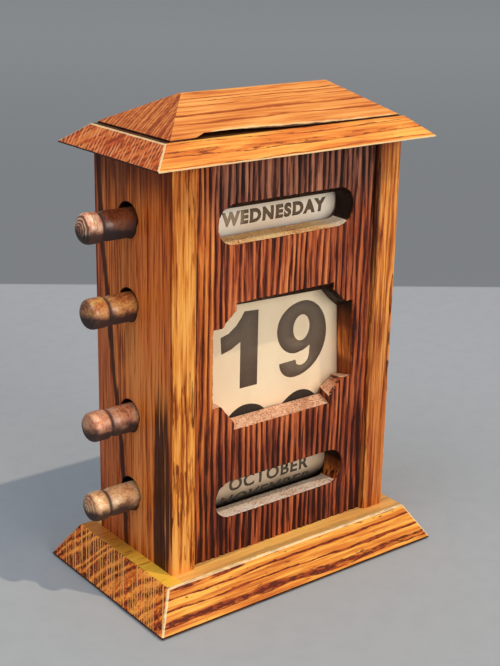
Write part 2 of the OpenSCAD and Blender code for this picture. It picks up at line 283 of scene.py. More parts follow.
# %% Build the oak figure group
def build_oak_figure():
    tree, start = new_group("oak figure", "ShaderNodeTree", {
        "Vector": "Millimetres, Pore Cycles",
        "Float": "Ring Width, Waviness, Early Share, Pore Share, Ray Cycles, Ray Length, Pith Distance, "
                 "End Grain"}, {"Float": "Early Wood, Pores, Fibre, Cloud, Rays"})
    place, across_grain, wide = start["Millimetres"], start["End Grain"], start["Early Share"]

    # The rings wander sideways as the grain runs along the board
    slow = vector_math("MULTIPLY", place, (0.045, 0.045, 0.012))
    drift = add("ShaderNodeTexNoise", {"Vector": slow, "Scale": 1.0, "Detail": 3.0}, out="Color")
    centred = vector_math("SUBTRACT", drift, (0.5, 0.5, 0.5))
    bent = vector_math("ADD", place, vector_math("SCALE", centred, start["Waviness"]))
    distance = vector_math("LENGTH", vector(*split(bent)[:2]))

    # Years of unequal width, each with a ragged porous start
    years = distance / start["Ring Width"]
    uneven = add("ShaderNodeTexNoise", {"W": years, "Scale": 0.6, "Detail": 1.0}, out="Fac",
                 noise_dimensions="1D")
    ragged = stretched_noise(place, (0.5, 0.5, 0.07))
    years += uneven * 1.6 + ragged * 0.5
    in_year = math_node("FRACT", years)
    row = math_node("SUBTRACT", smooth_step(in_year, 0.0, 0.06), smooth_step(in_year, wide * 0.4, wide), True)
    belt = math_node("SUBTRACT", smooth_step(in_year, 0.0, 0.3), smooth_step(in_year, 0.45, 0.95), True)
    early = add("ShaderNodeMix", {0: across_grain, 2: row, 3: belt})

    # Pores: long thin threads of noise, of which only the peaks count
    threads = stretched_noise(place, start["Pore Cycles"], detail=2.5, roughness=0.62)
    threshold = 0.8 - start["Pore Share"] * 0.12 - early * 0.2
    pores = smooth_step(threads - threshold, -0.02, 0.05)

    # Rays: thin spokes from the pith at nearly even angles, broken here and there
    x, y, _ = split(place)
    reach = vector_math("LENGTH", vector(x, y))
    spoke = math_node("ARCTAN2", y, x) * start["Pith Distance"] * start["Ray Cycles"]
    spokes = stretched_noise(vector(spoke, reach / start["Ray Length"]), (1.0, 1.0, 1.0), detail=1.0)
    even = math_node("SINE", spoke * (2 * math.pi)) * 0.16
    rays = smooth_step(spokes + even, 0.54, 0.68) * across_grain

    fibre = stretched_noise(place, (0.62, 0.62, 0.022), detail=4.0, roughness=0.68)
    cloud = stretched_noise(place, (0.06, 0.06, 0.014))
    make_node("NodeGroupOutput", {"Early Wood": early, "Pores": pores, "Fibre": fibre, "Cloud": cloud,
                                  "Rays": rays})
    return tree


OAK_FIGURE = build_oak_figure()
print("oak figure:", len(OAK_FIGURE.nodes), "nodes")

# %% [markdown]
# ## Stained and polished oak
#
# Each board is its own plank, so each gets its own grain direction, pith and tints. A Mapping node
# turns the grain of the group onto the board's length, and the pith goes where the sawyer left it. A
# plank may have a mark that belongs to it alone, such as a streak of dark heartwood: `marks` is a
# function that gets the place in millimetres and the colour so far, and returns the new colour.

# %% Oak material function
GRAIN_TURN = {"X": (0.0, math.radians(-90), 0.0), "Y": (math.radians(90), 0.0, 0.0), "Z": (0.0, 0.0, 0.0)}
BOARD_MIDDLE = {slot: sum(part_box(name), Vector()) / (2 * MM)
                for slot, name in (("oak_base", "base_board"), ("oak_eave", "eave_board"),
                                   ("oak_roof", "roof_block"))}


def oak(name, grain, pith, tones, pore, ring_width=4.0, waviness=5.0, early_share=0.3, pore_share=0.5,
        pore_cycles=(1.15, 1.15, 0.14), ray_cycles=0.5, ray_length=8.0, ring_depth=0.3, fibre_depth=0.9,
        cloud_depth=0.6, pore_depth=0.8, end_tint=None, ray_tint=None, marks=None, gloss=0.45, shine=0.22):
    material, place, millimetres = new_material(name)
    moved = vector_math("ADD", place, [-v * MM for v in pith])
    turned = add("ShaderNodeMapping", {"Vector": moved, "Rotation": GRAIN_TURN[grain],
                                       "Scale": (1000.0, 1000.0, 1000.0)})
    across = facing("XYZ".index(grain), 0, 0.35, 0.5)
    figure = make_node("ShaderNodeGroup", {
        "Millimetres": turned, "Ring Width": ring_width, "Waviness": waviness, "Early Share": early_share,
        "Pore Share": pore_share, "Pore Cycles": pore_cycles, "Ray Cycles": ray_cycles,
        "Ray Length": ray_length, "End Grain": across,
        "Pith Distance": math.dist(pith, BOARD_MIDDLE.get(name, pith))}, node_tree=OAK_FIGURE)
    early, pores, fibre, cloud, rays = wires_of(figure).values()

    tone = (fibre - 0.5) * fibre_depth + (cloud - 0.5) * cloud_depth + 0.55 - early * ring_depth
    dark, middle, light = tones
    colour = ramp(tone, [(0.1, dark), (0.45, middle), (0.75, light)])
    if end_tint:
        colour = tinted(across, colour, end_tint)
    colour = blend(pores * pore_depth, colour, pore)
    if ray_tint:
        colour = blend(rays * 0.8, colour, ray_tint)
    if marks:
        colour = marks(millimetres, colour)
    rough = smooth_step(pores, 0.0, 1.0, gloss, gloss + 0.3)
    return surface(material, colour, rough, (fibre * 0.4 - pores, 0.15, 0.3), shine)


# %% Marks of single planks
ROOF_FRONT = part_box("roof_block")[0].y / MM
KNOB_HOLES = {"day": 164.38, "date_upper": 128.19, "date_lower": 78.99, "month": 42.9}
KNOB_HOLE_RADIUS = 7.75
WORN_RADIUS = 6.4        # the lower part of a hole's rim, measured from its roller's axis
WORN_FROM_TO = (0.3, -0.15)


def heart_streak(place, colour):
    """The left side board: a red outer face, a black line of heartwood, a dark lower front, painted shade
    under the eave and painted shade in the knob holes.
    """
    _, y, z = split(place)
    outer = facing(0, -1.0)
    colour = tinted(outer, colour, (0.94, 0.66, 0.7))
    strands = stretched_noise(place, (0.7, 0.7, 0.016))
    ragged = z + (strands - 0.5) * 44.0
    # Painted shade: the outer face darkens towards the eave above it.
    painted_eave_shade = smooth_step(ragged, 168.0, 190.0, 0.0, 0.8) * outer
    colour = blend(painted_eave_shade, colour, (84, 40, 24))
    # Painted shade: the front edge darkens under the eave.
    front = facing(1, -1.0)
    shaded = smooth_step(ragged, 140.0, 182.0, 0.12, 1.0) * front
    colour = tinted(shaded, colour, (0.72, 0.58, 0.57))
    rose = smooth_step(z, 96.0, 120.0) * smooth_step(y, 2.0, -12.0) * outer
    colour = tinted(rose, colour, (0.96, 0.8, 0.72))
    line = drawn_curve(z, 17.0, 192.0, ((0.0, 0.075), (0.06, 0.083), (0.2, 0.095), (0.33, 0.122),
                                        (0.48, 0.164), (0.55, 0.184), (0.7, 0.217), (0.79, 0.24),
                                        (1.0, 0.245)))
    wobble = stretched_noise(place, (0.05, 0.05, 0.05), detail=3.0)
    beside = y - (line * 100.0 + (wobble - 0.5) * 4.0)
    behind = smooth_step(beside, 0.0, 2.0, 0.0, 0.8) * outer
    colour = tinted(behind, colour, (0.66, 0.5, 0.62))
    width = stretched_noise(place, (0.3, 0.3, 0.03)) * 5.6 - 1.2
    share = smooth_step(abs(beside) - width, -0.5, 0.7, 0.94, 0.0)
    colour = blend(share, colour, (64, 22, 8))

    foot = stretched_noise(place, (0.2, 0.2, 0.016))
    band = y + (foot - 0.5) * 18.0 + (strands - 0.5) * 12.0
    inside = smooth_step(band, -27.0, -24.8) * smooth_step(band, -14.0, -16.5)
    inside *= smooth_step(z, 84.0, 104.0, 1.0, 0.0) * outer * 0.92
    colour = blend(inside, colour, (46, 16, 12))
    # Painted shade: the knob holes are filled nearly black round each shank.
    for body, height in KNOB_HOLES.items():
        centre = (0.0, ROLLER_AXIS[body].y / MM, ROLLER_AXIS[body].z / MM)
        away = vector_math("DISTANCE", vector_math("MULTIPLY", place, (0.0, 1.0, 1.0)), centre)
        steep = (z - centre[2]) / away
        rim = smooth_step(steep, *WORN_FROM_TO, KNOB_HOLE_RADIUS, WORN_RADIUS)
        rim += math_node("MAXIMUM", steep, 0.0) * (height - centre[2])
        hole_shade = smooth_step(away - rim, 0.0, 0.5, 0.95, 0.0)
        colour = blend(hole_shade, colour, (20, 8, 5))
    return colour


def sanded_and_lit_top(place, colour):
    """The base board's flat top was sanded down to yellow wood; its left strip, in the case's shadow, is
    painted brighter as painted light.
    """
    x, y, _ = split(place)
    upward = facing(2, 1.0, 0.9, 0.98)
    # Painted light: the left strip, which lies in the case's shadow, gets the larger share of bright yellow.
    share = upward * smooth_step(x, -60.5, -58.5, 0.9, 0.5)
    golden = blend(smooth_step(x, -60.5, -58.5), (255, 198, 66), (255, 206, 118))
    colour = blend(share, colour, golden)
    left = upward * smooth_step(x, -60.5, -58.5, 1.0, 0.0)
    rays = stretched_noise(place, (0.05, 0.6, 1.0), roughness=0.7)
    rays = left * smooth_step(rays, 0.57, 0.63, 0.0, 0.7)
    colour = blend(rays, colour, (130, 56, 18))
    red = left * smooth_step(y, -14.0, 20.0, 0.0, 0.75)
    return blend(red, colour, (172, 76, 32))


def red_foot(place, colour):
    """The right pilaster is redder towards its foot, with painted shade that darkens its top under the eave
    and turns it nearly black along the panel.
    """
    x, _, z = split(place)
    strands = stretched_noise(place, (0.5, 0.5, 0.02))
    height = z + (strands - 0.5) * 50.0
    front = facing(1, -1.0)
    middle = smooth_step(height, 128.0, 104.0, 0.0, 0.8) * front
    colour = tinted(middle, colour, (0.78, 0.78, 0.86))
    foot = smooth_step(height, 92.0, 60.0) * front
    strands = stretched_noise(place, (0.7, 0.7, 0.016))
    # Painted shade: a near-black band along the panel, strongest towards the top.
    edge = smooth_step(x + (strands - 0.5) * 3.0, 49.5, 47.7, 0.0, 0.92)
    edge *= smooth_step(z, 96.0, 150.0, 0.3, 1.0)
    colour = tinted(foot, colour, (0.88, 0.7, 0.64))
    # Painted shade: the top darkens under the eave, more towards the panel.
    ragged = z + (strands - 0.5) * 40.0 - (x - 48.0) * 2.2
    top = smooth_step(ragged, 150.0, 184.0, 0.0, 0.9) * front
    colour = tinted(top, colour, (0.42, 0.3, 0.26))
    return blend(edge, colour, (40, 13, 7))


def shaded_joint_floor(place, colour):
    """Painted shade: the eave board's top is darkened in the roof block's open joint, where the block stands
    on it and just in front.
    """
    ragged = split(place)[1] + stretched_noise(place, (0.2, 0.2, 0.2)) * 0.6
    share = smooth_step(ragged, ROOF_FRONT - 0.1, ROOF_FRONT + 0.4, 0.0, 0.92) * facing(2, 1.0)
    return blend(share, colour, (58, 24, 11))


def joint_shade(place, colour):
    """Painted shade of the roof block's open joint, carried up on to the slope above it, under a rubbed pale
    line.
    """
    x, _, z = split(place)
    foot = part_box("roof_block")[0].z / MM
    front = facing(1, -1.0, 0.2, 0.3)
    line = drawn_curve(x, -60.0, 60.0, ((0.0, 0.08), (0.1, 0.1), (0.14, 0.2), (0.2, 0.55), (0.3, 0.62),
                                        (0.45, 0.5), (0.7, 0.3), (1.0, 0.1)))
    ragged = stretched_noise(place, (0.16, 0.5, 0.5), detail=3.0)
    above = z - foot - (line * 3.0 + (ragged - 0.5) * 0.9)
    pale = smooth_step(above, 0.75, 0.2, 0.0, 0.7) * front
    colour = blend(pale * smooth_step(x, -50.0, -40.0), colour, (255, 222, 160))
    # Painted shade: the open joint's shadow, darkened on to the slope.
    crease_shade = smooth_step(above, 0.25, -0.15, 0.0, 0.95) * front
    return blend(crease_shade, colour, (66, 28, 12))


print("marks ready")

# %% One plank for each board
PLANKS = {
    "oak_base": dict(
        grain="X", pith=(0, -416, -424), tones=((148, 56, 17), (219, 125, 43), (251, 184, 80)),
        pore=(78, 28, 15), ring_width=5.4, waviness=7.0, early_share=0.42, pore_share=1.1,
        pore_cycles=(0.95, 0.95, 0.23), ray_cycles=0.74, ray_length=34.0, ring_depth=0.42, fibre_depth=1.8,
        end_tint=(1.28, 0.93, 0.78), ray_tint=(255, 186, 96), marks=sanded_and_lit_top),
    "oak_eave": dict(
        grain="X", pith=(0, -189, -37), tones=((186, 88, 36), (234, 134, 54), (252, 186, 88)),
        pore=(128, 62, 26), ring_width=4.2, waviness=7.0, pore_share=1.0, pore_cycles=(0.9, 0.9, 0.16),
        ray_cycles=0.62, ray_length=5.0, fibre_depth=1.5, cloud_depth=1.3,
        end_tint=(0.8, 0.47, 0.49), ray_tint=(250, 160, 100), marks=shaded_joint_floor),
    "oak_roof": dict(
        grain="X", pith=(0, -45, 233), tones=((172, 82, 32), (228, 134, 60), (250, 174, 92)),
        pore=(128, 60, 24), ring_width=2.0, waviness=1.6, early_share=0.45, pore_share=0.2,
        pore_cycles=(1.2, 1.2, 0.1), ring_depth=0.42, fibre_depth=1.5,
        end_tint=(0.94, 0.8, 0.84), marks=joint_shade),
    "oak_side_left": dict(
        grain="Z", pith=(-48, 70, 0), tones=((150, 70, 24), (230, 144, 60), (250, 178, 88)),
        pore=(84, 36, 14), ring_width=3.6, waviness=6.0, early_share=0.25, pore_share=0.55,
        pore_cycles=(1.9, 1.9, 0.1), ring_depth=0.25, fibre_depth=2.9, cloud_depth=0.9, shine=0.1,
        marks=heart_streak),
    "oak_side_right": dict(
        grain="Z", pith=(44, 60, 0), tones=((124, 48, 14), (200, 108, 40), (242, 160, 76)),
        pore=(84, 36, 14), ring_width=3.2, waviness=6.0, pore_share=0.9, pore_cycles=(1.5, 1.5, 0.12),
        ring_depth=0.34, fibre_depth=2.8, marks=red_foot),
    "oak_back": dict(
        grain="Z", pith=(10, 90, 0), tones=((112, 56, 26), (166, 96, 50), (198, 124, 70)),
        pore=(60, 28, 14), waviness=7.0, pore_share=0.7),
}
WOOD = {name: oak(name, **plank) for name, plank in PLANKS.items()}
CREAM = linear(255, 236, 186)
BARE_LIFT = 0.2          # boards that are lifted more than this lost their stain and pores as well


def rubbed(name, lift):
    """The same plank where sanding went through the stain: paler tones, softer pores, smoother skin."""
    plank = dict(PLANKS[name])
    plank["tones"] = tuple(tuple(v + (c - v) * lift for v, c in zip(linear(*tone), CREAM))
                           for tone in plank["tones"])
    if lift > BARE_LIFT:
        plank.update(pore_depth=0.3, ring_depth=0.1, gloss=0.4, end_tint=None, ray_tint=None, marks=None)
    return oak("rubbed_" + name, **plank)


RUBBED = {name: rubbed(name, lift) for name, lift in (
    ("oak_base", 0.68), ("oak_eave", 0.6), ("oak_roof", 0.45), ("oak_side_left", 0.06),
    ("oak_side_right", 0.06), ("oak_back", 0.05))}
# Near-black wood for painted shade on the narrow lips and along the feet of boards.
LIP_SHADE = oak("shaded_lip_oak", "X", (0, -45, 233), ((30, 12, 6), (58, 24, 12), (84, 38, 18)),
            (20, 8, 4), pore_share=0.2)
print("planks:", ", ".join(WOOD))

# %% [markdown]
# ## Sanded boards
#
# No joiner leaves a knife-sharp arris. Each board starts as a copy of the engineering mesh, merged
# into one skin. Slices along and across give it vertices to move, so its edges wander by a few
# hundredths of a millimetre as hand-sanded ones do. A Bevel modifier then rounds them, and puts the
# rubbed, paler wood on the rounded strip and on the front lips that are rubbed. The other narrow lips,
# and the rounded strip along the foot, get near-black wood as painted shade.

# %% Copy, slice and wander
SHARP = math.radians(25)         # sharper turns than this are edges that wander
ROUNDED = math.radians(28)       # and sharper ones than this are rounded
noise.seed_set(19)               # without a seed the edges would wander differently at every run


def merged_copy(name):
    shape = bmesh.new()
    shape.from_mesh(frame["nodes"][name].data)
    bmesh.ops.remove_doubles(shape, verts=shape.verts, dist=0.002 * MM)
    bmesh.ops.dissolve_limit(shape, angle_limit=math.radians(0.5), verts=shape.verts, edges=shape.edges)
    return shape


def saw(shape, place, direction, clear_outer=False):
    """Cuts the faces along a plane, and throws away what lies beyond it if asked to."""
    every = shape.verts[:] + shape.edges[:] + shape.faces[:]
    bmesh.ops.bisect_plane(shape, geom=every, dist=1e-7, plane_co=place, plane_no=direction,
                           clear_outer=clear_outer)


def slice_along(shape, axis, low, high, step):
    direction = Vector([float(i == axis) for i in range(3)])
    count = max(1, round((high - low) / step))
    for k in range(1, count):
        saw(shape, direction * (low + (high - low) * k / count), direction)


def wander_edges(shape, low, high, amount, length):
    """Moves the vertices on sharp edges by smooth noise, and keeps them inside the board's own box."""
    sharp = dict.fromkeys(v for e in shape.edges for v in e.verts
                          if len(e.link_faces) == 2 and e.calc_face_angle() > SHARP)
    for v in sharp:
        moved = v.co + noise.noise_vector(v.co / length) * amount
        v.co = Vector([min(max(moved[i], low[i]), high[i]) for i in range(3)])


# %% Turn a mesh in progress into a finished piece
def as_object(shape, name, materials):
    bmesh.ops.recalc_face_normals(shape, faces=shape.faces)
    mesh = bpy.data.meshes.new(name)
    shape.to_mesh(mesh)
    shape.free()
    for layer in ("custom_normal", "sharp_face", "sharp_edge"):
        if layer in mesh.attributes:
            mesh.attributes.remove(mesh.attributes[layer])
    made = bpy.data.objects.new(name, mesh)
    bpy.context.scene.collection.objects.link(made)
    for material in materials:
        mesh.materials.append(material)
    return made


def applied(made):
    """Turns an object with modifiers into a plain mesh."""
    graph = bpy.context.evaluated_depsgraph_get()
    mesh = bpy.data.meshes.new_from_object(made.evaluated_get(graph))
    made.modifiers.clear()
    made.data = mesh
    return made


def shade(made, angle=30):
    made.data.shade_smooth()
    made.data.set_sharp_from_angle(angle=math.radians(angle))
    return made


def finish_piece(made, body, slot, *nodes):
    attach(made, body)
    if nodes:
        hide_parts(*nodes)
    print(f"{made.name}: {len(made.data.polygons)} faces")
    return made


# %% Make the boards
def round_upper_edges(shape, low, width, bare):
    """Rounds the edges round the top and down the mitres. `bare` says which of them were rubbed bare."""
    upper = [e for e in shape.edges if e.calc_face_angle(0.0) > ROUNDED
             and all(f.normal.z > 0.05 for f in e.link_faces)
             and max(v.co.z for v in e.verts) > low.z + 2 * MM]
    bmesh.ops.bevel(shape, geom=upper, offset=width * MM, segments=3, profile=0.5, affect="EDGES", material=1)
    for f in shape.faces:
        if f.material_index == 1 and not bare(f.normal):
            f.material_index = 0


def sanded_board(name, slot, steps, amount=0.05, length=9.0, lip=0.0, rubbed_lip=False, reshape=None,
                 upper=0.0, bare=None):
    """Sizes in mm. `steps` are the slices along each axis, `lip` the height of the narrow lips."""
    low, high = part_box(name)
    shape = merged_copy(name)
    if reshape:
        reshape(shape)
    if upper:
        round_upper_edges(shape, low, upper, bare)
    for axis, step in enumerate(steps):
        if step:
            slice_along(shape, axis, low[axis], high[axis], step * MM)
    wander_edges(shape, low, high, amount * MM, length * MM)
    # Painted shade: narrow lips get the near-black wood, unless they are front lips that were rubbed.
    for f in shape.faces:
        heights = [v.co.z for v in f.verts]
        if abs(f.normal.z) < 0.3 and max(heights) - min(heights) < lip * MM and f.material_index == 0:
            f.material_index = 1 if rubbed_lip and f.normal.y < -0.7 else 2
    board = as_object(shape, name + "_wood", [WOOD[slot], RUBBED[slot], LIP_SHADE])
    rounding = board.modifiers.new("sanded arris", "BEVEL")
    rounding.width = 0.3 * MM
    rounding.segments = 3
    rounding.limit_method = "ANGLE"
    rounding.angle_limit = ROUNDED
    rounding.material = 1
    applied(board)
    # Painted shade: rounded strips along the foot get the near-black wood too.
    for face in board.data.polygons:
        low_down = lip and face.center.z < low.z + (lip + 0.4) * MM
        if low_down and face.material_index == 1 and not (rubbed_lip and face.normal.y < -0.3):
            face.material_index = 2
    shade(board)
    return finish_piece(board, "case", slot, name)


def hand_planed(shape):
    """The ridge runs a little to the right and to the front, and the open joint starts with a short step."""
    low = Vector([min(v.co[i] for v in shape.verts) for i in range(3)])
    top = max(v.co.z for v in shape.verts)
    for v in shape.verts:
        if v.co.z > top - 0.2 * MM:
            v.co += Vector((0.9, -0.5, 0.0)) * MM
        along = (v.co.x - low.x) / MM
        if 5.0 < along < 18.0 and v.co.z < low.z + 2.2 * MM:
            v.co.x = low.x + (8.5 + (along - 5.5) * 0.72) * MM


def worn_holes(shape):
    """The knobs' shanks have worn the holes: each rests almost on the bottom of its own."""
    for v in shape.verts:
        for body, height in KNOB_HOLES.items():
            axis = ROLLER_AXIS[body]
            aside = (v.co.y - axis.y) / MM
            if math.hypot(aside, v.co.z / MM - height) < KNOB_HOLE_RADIUS + 0.15:
                above = (v.co.z - axis.z) / MM
                away = math.hypot(aside, above)
                start, end = WORN_FROM_TO
                share = min(max((start - above / away) / (start - end), 0.0), 1.0)
                share *= share * (3 - 2 * share)
                grown = (away + (WORN_RADIUS - away) * share) / away
                v.co.y = axis.y + aside * grown * MM
                v.co.z = axis.z + above * grown * MM


sanded_board("base_board", "oak_base", (4, 4, 0), lip=0.9, upper=0.72, bare=lambda n: n.y < -0.15)
sanded_board("side_left", "oak_side_left", (0, 0, 6), reshape=worn_holes)
sanded_board("side_right", "oak_side_right", (0, 0, 6))
sanded_board("eave_board", "oak_eave", (3, 4, 0), amount=0.12, length=3.0, lip=0.8, rubbed_lip=True,
             upper=0.75, bare=lambda n: n.x < -0.15)
sanded_board("roof_block", "oak_roof", (3, 4, 0), lip=0.9, reshape=hand_planed)
sanded_board("back_panel", "oak_back", (0, 0, 8))

# %% [markdown]
# ## The striped front panel
#
# The maker wire-brushed the front panel: the soft early wood is worn down to grooves and the hard late
# wood is left as ribs, about 3 mm apart, which run together here and there like flames. Ribs that
# follow a rule are a job for Geometry Nodes. One formula, `rib_height`, gives the height of the wood at
# any place. The geometry tree uses it to push the grooves in, and the material uses it to stain them,
# so that colour and relief can never drift apart.

# %% One formula for relief and stain
RIB_PITCH = 3.2


def rib_height(place):
    """0 in the grooves, 1 on the ribs. `place` is in metres, and only its x and z count."""
    flat = vector_math("MULTIPLY", place, (1000.0, 0.0, 1000.0))
    along = split(flat)[0] + stretched_noise(flat, (0.05, 1.0, 0.009)) * 9.0
    wave = math_node("SINE", along * (2 * math.pi / RIB_PITCH)) * 0.12
    flames = stretched_noise(flat, (0.66, 1.0, 0.034), detail=4.0, roughness=0.66)
    return smooth_step(wave + flames, 0.3, 0.62)


print(f"rib pitch {RIB_PITCH} mm")

# %% [markdown]
# ## Plugs for the windows
#
# The windows are sawn through the ribs, so they are cut out after the ribs are raised. Their outlines
# are walked along the engineering panel's own edges. Each outline becomes a plug that is a little
# larger at the front, by an uneven amount: that is what leaves splinters missing from the arris.

# %% Walk the window outlines
def window_outlines(name):
    """Closed rings of (x, z) points round each opening, taken on the board's front face."""
    low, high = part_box(name)
    shape = merged_copy(name)
    onward = {}
    for edge in shape.edges:
        a, b = (v.co for v in edge.verts)
        front = abs(a.y - low.y) < 1e-5 and abs(b.y - low.y) < 1e-5
        rim = any(min(abs(v.co[i] - limit[i]) for i in (0, 2) for limit in (low, high)) < 1e-4
                  for v in edge.verts)
        walls = sum(abs(f.normal.y) < 0.5 for f in edge.link_faces)
        if front and walls == 1 and not rim:
            for here, there in ((edge.verts[0], edge.verts[1]), (edge.verts[1], edge.verts[0])):
                onward.setdefault(here.index, []).append(there.index)
    shape.verts.ensure_lookup_table()
    outlines = []
    while onward:
        first = min(onward)
        ring, here, before = [], first, None
        while here is not None:
            ring.append((shape.verts[here].co.x, shape.verts[here].co.z))
            ahead = [i for i in onward.pop(here) if i != before and (i in onward or i == first)]
            before, here = here, (ahead[0] if ahead and ahead[0] != first else None)
        area = sum(a[0] * b[1] - b[0] * a[1] for a, b in zip(ring, ring[1:] + ring[:1]))
        outlines.append(ring if area > 0 else ring[::-1])
    shape.free()
    return sorted(outlines, key=lambda ring: -max(p[1] for p in ring))


WINDOWS = window_outlines("front_panel")
print("windows:", [(len(ring), round(1000 * min(p[1] for p in ring), 1)) for ring in WINDOWS])

# %% [markdown]
# The windows were sawn by hand. Their top edges hang over a little at the back, the date window's
# lower corners sit higher than the upper ones suggest, and its right corners are splayed: wider at the
# back than at the front. `hand_cut` gives each outline those habits, once for the front and once for
# the back.

# %% The outlines as they were cut
OVERHANG = (2.2 * MM, 1.6 * MM, 1.2 * MM)        # of the day, date and month windows
SILL_FALL = (-0.4 * MM, 0.0, 1.4 * MM)


def hand_cut(ring, overhang, fall):
    top = max(z for _, z in ring)
    bottom = min(z for _, z in ring)
    middle = (top + bottom) / 2
    corners = len(ring) < 20
    front, back = [], []
    for x, z in ring:
        shoulder = corners and abs(x) > 30 * MM
        if shoulder and z < middle:
            z += (0.9 if x > 0 else 2.3) * MM
            x += 1.8 * MM if x > 37 * MM else 0.0
        front.append((x, z))
        hang = max(0.0, (z - middle) / (top - middle)) ** 4 * overhang
        if corners:
            hang *= 1 + 0.9 * min(max((x - 5 * MM) / (20 * MM), 0.0), 1.0)
        deep_x, deep_z = x, z
        if not corners and z < middle:
            low_down = (middle - z) / (middle - bottom)
            deep_z -= fall * low_down
            end = 36 * MM - (top - bottom) / 2
            if x > end:
                out = (x - end) / (36 * MM - end)
                deep_x = end + (36 * MM - end) * out ** 0.45
                deep_z = middle - (middle - bottom + fall) * low_down ** 0.6
        if corners and x > 0:
            deep_x += (1.3 if abs(x) > 30 * MM else 1.6) * MM
            if z > middle and shoulder:
                deep_z -= (5.5 if x > 37 * MM else 2.0) * MM
            elif z < middle:
                deep_x += 0.0 if x > 37 * MM else 3.0 * MM
                deep_z -= 3.0 * MM if shoulder else 0.0
        back.append((deep_x, deep_z, hang))
    return front, back


# %% Make a plug for each window
def subdivided(corners, counts):
    out = []
    for a, b, count in zip(corners, corners[1:] + corners[:1], counts):
        out += [tuple(p + (q - p) * k / count for p, q in zip(a, b)) for k in range(count)]
    return out


def window_plugs(outlines, front, back):
    shape = bmesh.new()
    for outline, overhang, fall in zip(outlines, OVERHANG, SILL_FALL):
        near, far = hand_cut(outline, overhang, fall)
        counts = [max(1, math.ceil(math.dist(a, b) / (0.6 * MM))) for a, b in zip(near, near[1:] + near[:1])]
        near, far = subdivided(near, counts), subdivided(far, counts)
        outward = []
        for k in range(len(near)):
            (ax, az), (bx, bz) = near[k - 1], near[(k + 1) % len(near)]
            length = math.hypot(bx - ax, bz - az)
            outward.append(((bz - az) / length, -(bx - ax) / length))
        layers = []
        for y, splintered, depth in ((front - 2 * MM, 1.0, 0.0), (front + 0.15 * MM, 0.9, 0.0),
                                     (front + 0.8 * MM, 0.0, 0.3), (front + 2.6 * MM, 0.0, 1.0),
                                     (back + 2 * MM, 0.0, 1.0)):
            layer = []
            for (x, z), (bx, bz, hang), (ox, oz) in zip(near, far, outward):
                splinter = max(0.0, noise.noise(Vector((x, 0.0, z)) / (1.1 * MM)) + 0.15)
                reach = splintered * (0.06 + 0.5 * splinter) * MM
                share = depth * (y - front) / (back - front)
                layer.append(shape.verts.new((x + (bx - x) * share + ox * reach, y,
                                              z + (bz - z) * share - hang * depth + oz * reach)))
            layers.append(layer)
        for lower, upper in zip(layers, layers[1:]):
            for k in range(len(near)):
                j = (k + 1) % len(near)
                shape.faces.new((lower[k], lower[j], upper[j], upper[k]))
        shape.faces.new(layers[0][::-1])
        shape.faces.new(layers[-1])
    bmesh.ops.triangulate(shape, faces=shape.faces)
    return as_object(shape, "window_plugs", [])


plugs = window_plugs(WINDOWS, PANEL_LOW.y, PANEL_HIGH.y)
print("plugs:", len(plugs.data.polygons), "faces")

# %% [markdown]
# ## The panel's finishes
#
# The face is stained: near black in the grooves, red brown on their slopes and orange on the crests,
# where the cloth rubbed the stain off. Painted shade turns the face darker and pinker under the eave.
# The sills of the windows were sawn after the staining and never sealed, so they show raw end grain,
# pale and speckled like cork; painted light makes their back part and the day sill's right end paler.
# The upright walls of the windows did get some stain, which lies on them in blotches, and painted
# shade darkens them to nearly black at their tops.

# %% Stained ribs, raw sills and stained walls
def stained_ribs():
    material, place, space = new_material("ribbed_oak")
    x, _, z = split(space)
    fibre = stretched_noise(space, (0.8, 0.8, 0.03), detail=4.0, roughness=0.75)
    rib = stretched_noise(space, (0.3, 1.0, 0.008))
    patch = stretched_noise(space, (0.08, 0.08, 0.014))
    tone = rib_height(place) * 0.56 + 0.08 + (fibre - 0.5) * 1.3 + (rib - 0.5) * 0.8 + (patch - 0.5) * 0.8
    for along, start, end, change in ((x, -36.0, -44.0, 0.08), (x, 0.0, 30.0, -0.11), (z, 78.0, 60.0, -0.15),
                                      (z, 36.0, 26.0, -0.1)):
        tone += smooth_step(along, start, end, 0.0, change)
    colour = ramp(tone, [(0.0, (48, 17, 10)), (0.2, (86, 35, 21)), (0.42, (148, 67, 38)),
                         (0.66, (200, 106, 58)), (1.0, (240, 156, 92))])
    pale = ramp(tone, [(0.0, (26, 12, 9)), (0.22, (66, 36, 28)), (0.5, (140, 88, 68)),
                       (1.0, (222, 156, 120))])
    colour = tinted(smooth_step(x, -34.0, -42.0), colour, (1.0, 1.0, 0.62))
    # Painted shade: under the eave the ribs turn to the darker, pinker ramp.
    fade_and_shade = smooth_step(z + rib * 24.0, 168.0, 192.0, 0.0, 0.85)
    colour = blend(fade_and_shade * smooth_step(x, -43.0, -34.0, 0.15, 1.0), colour, pale)
    return surface(material, colour, smooth_step(fibre, 0.2, 0.8, 0.45, 0.65), (fibre, 0.25, 0.4), 0.15)


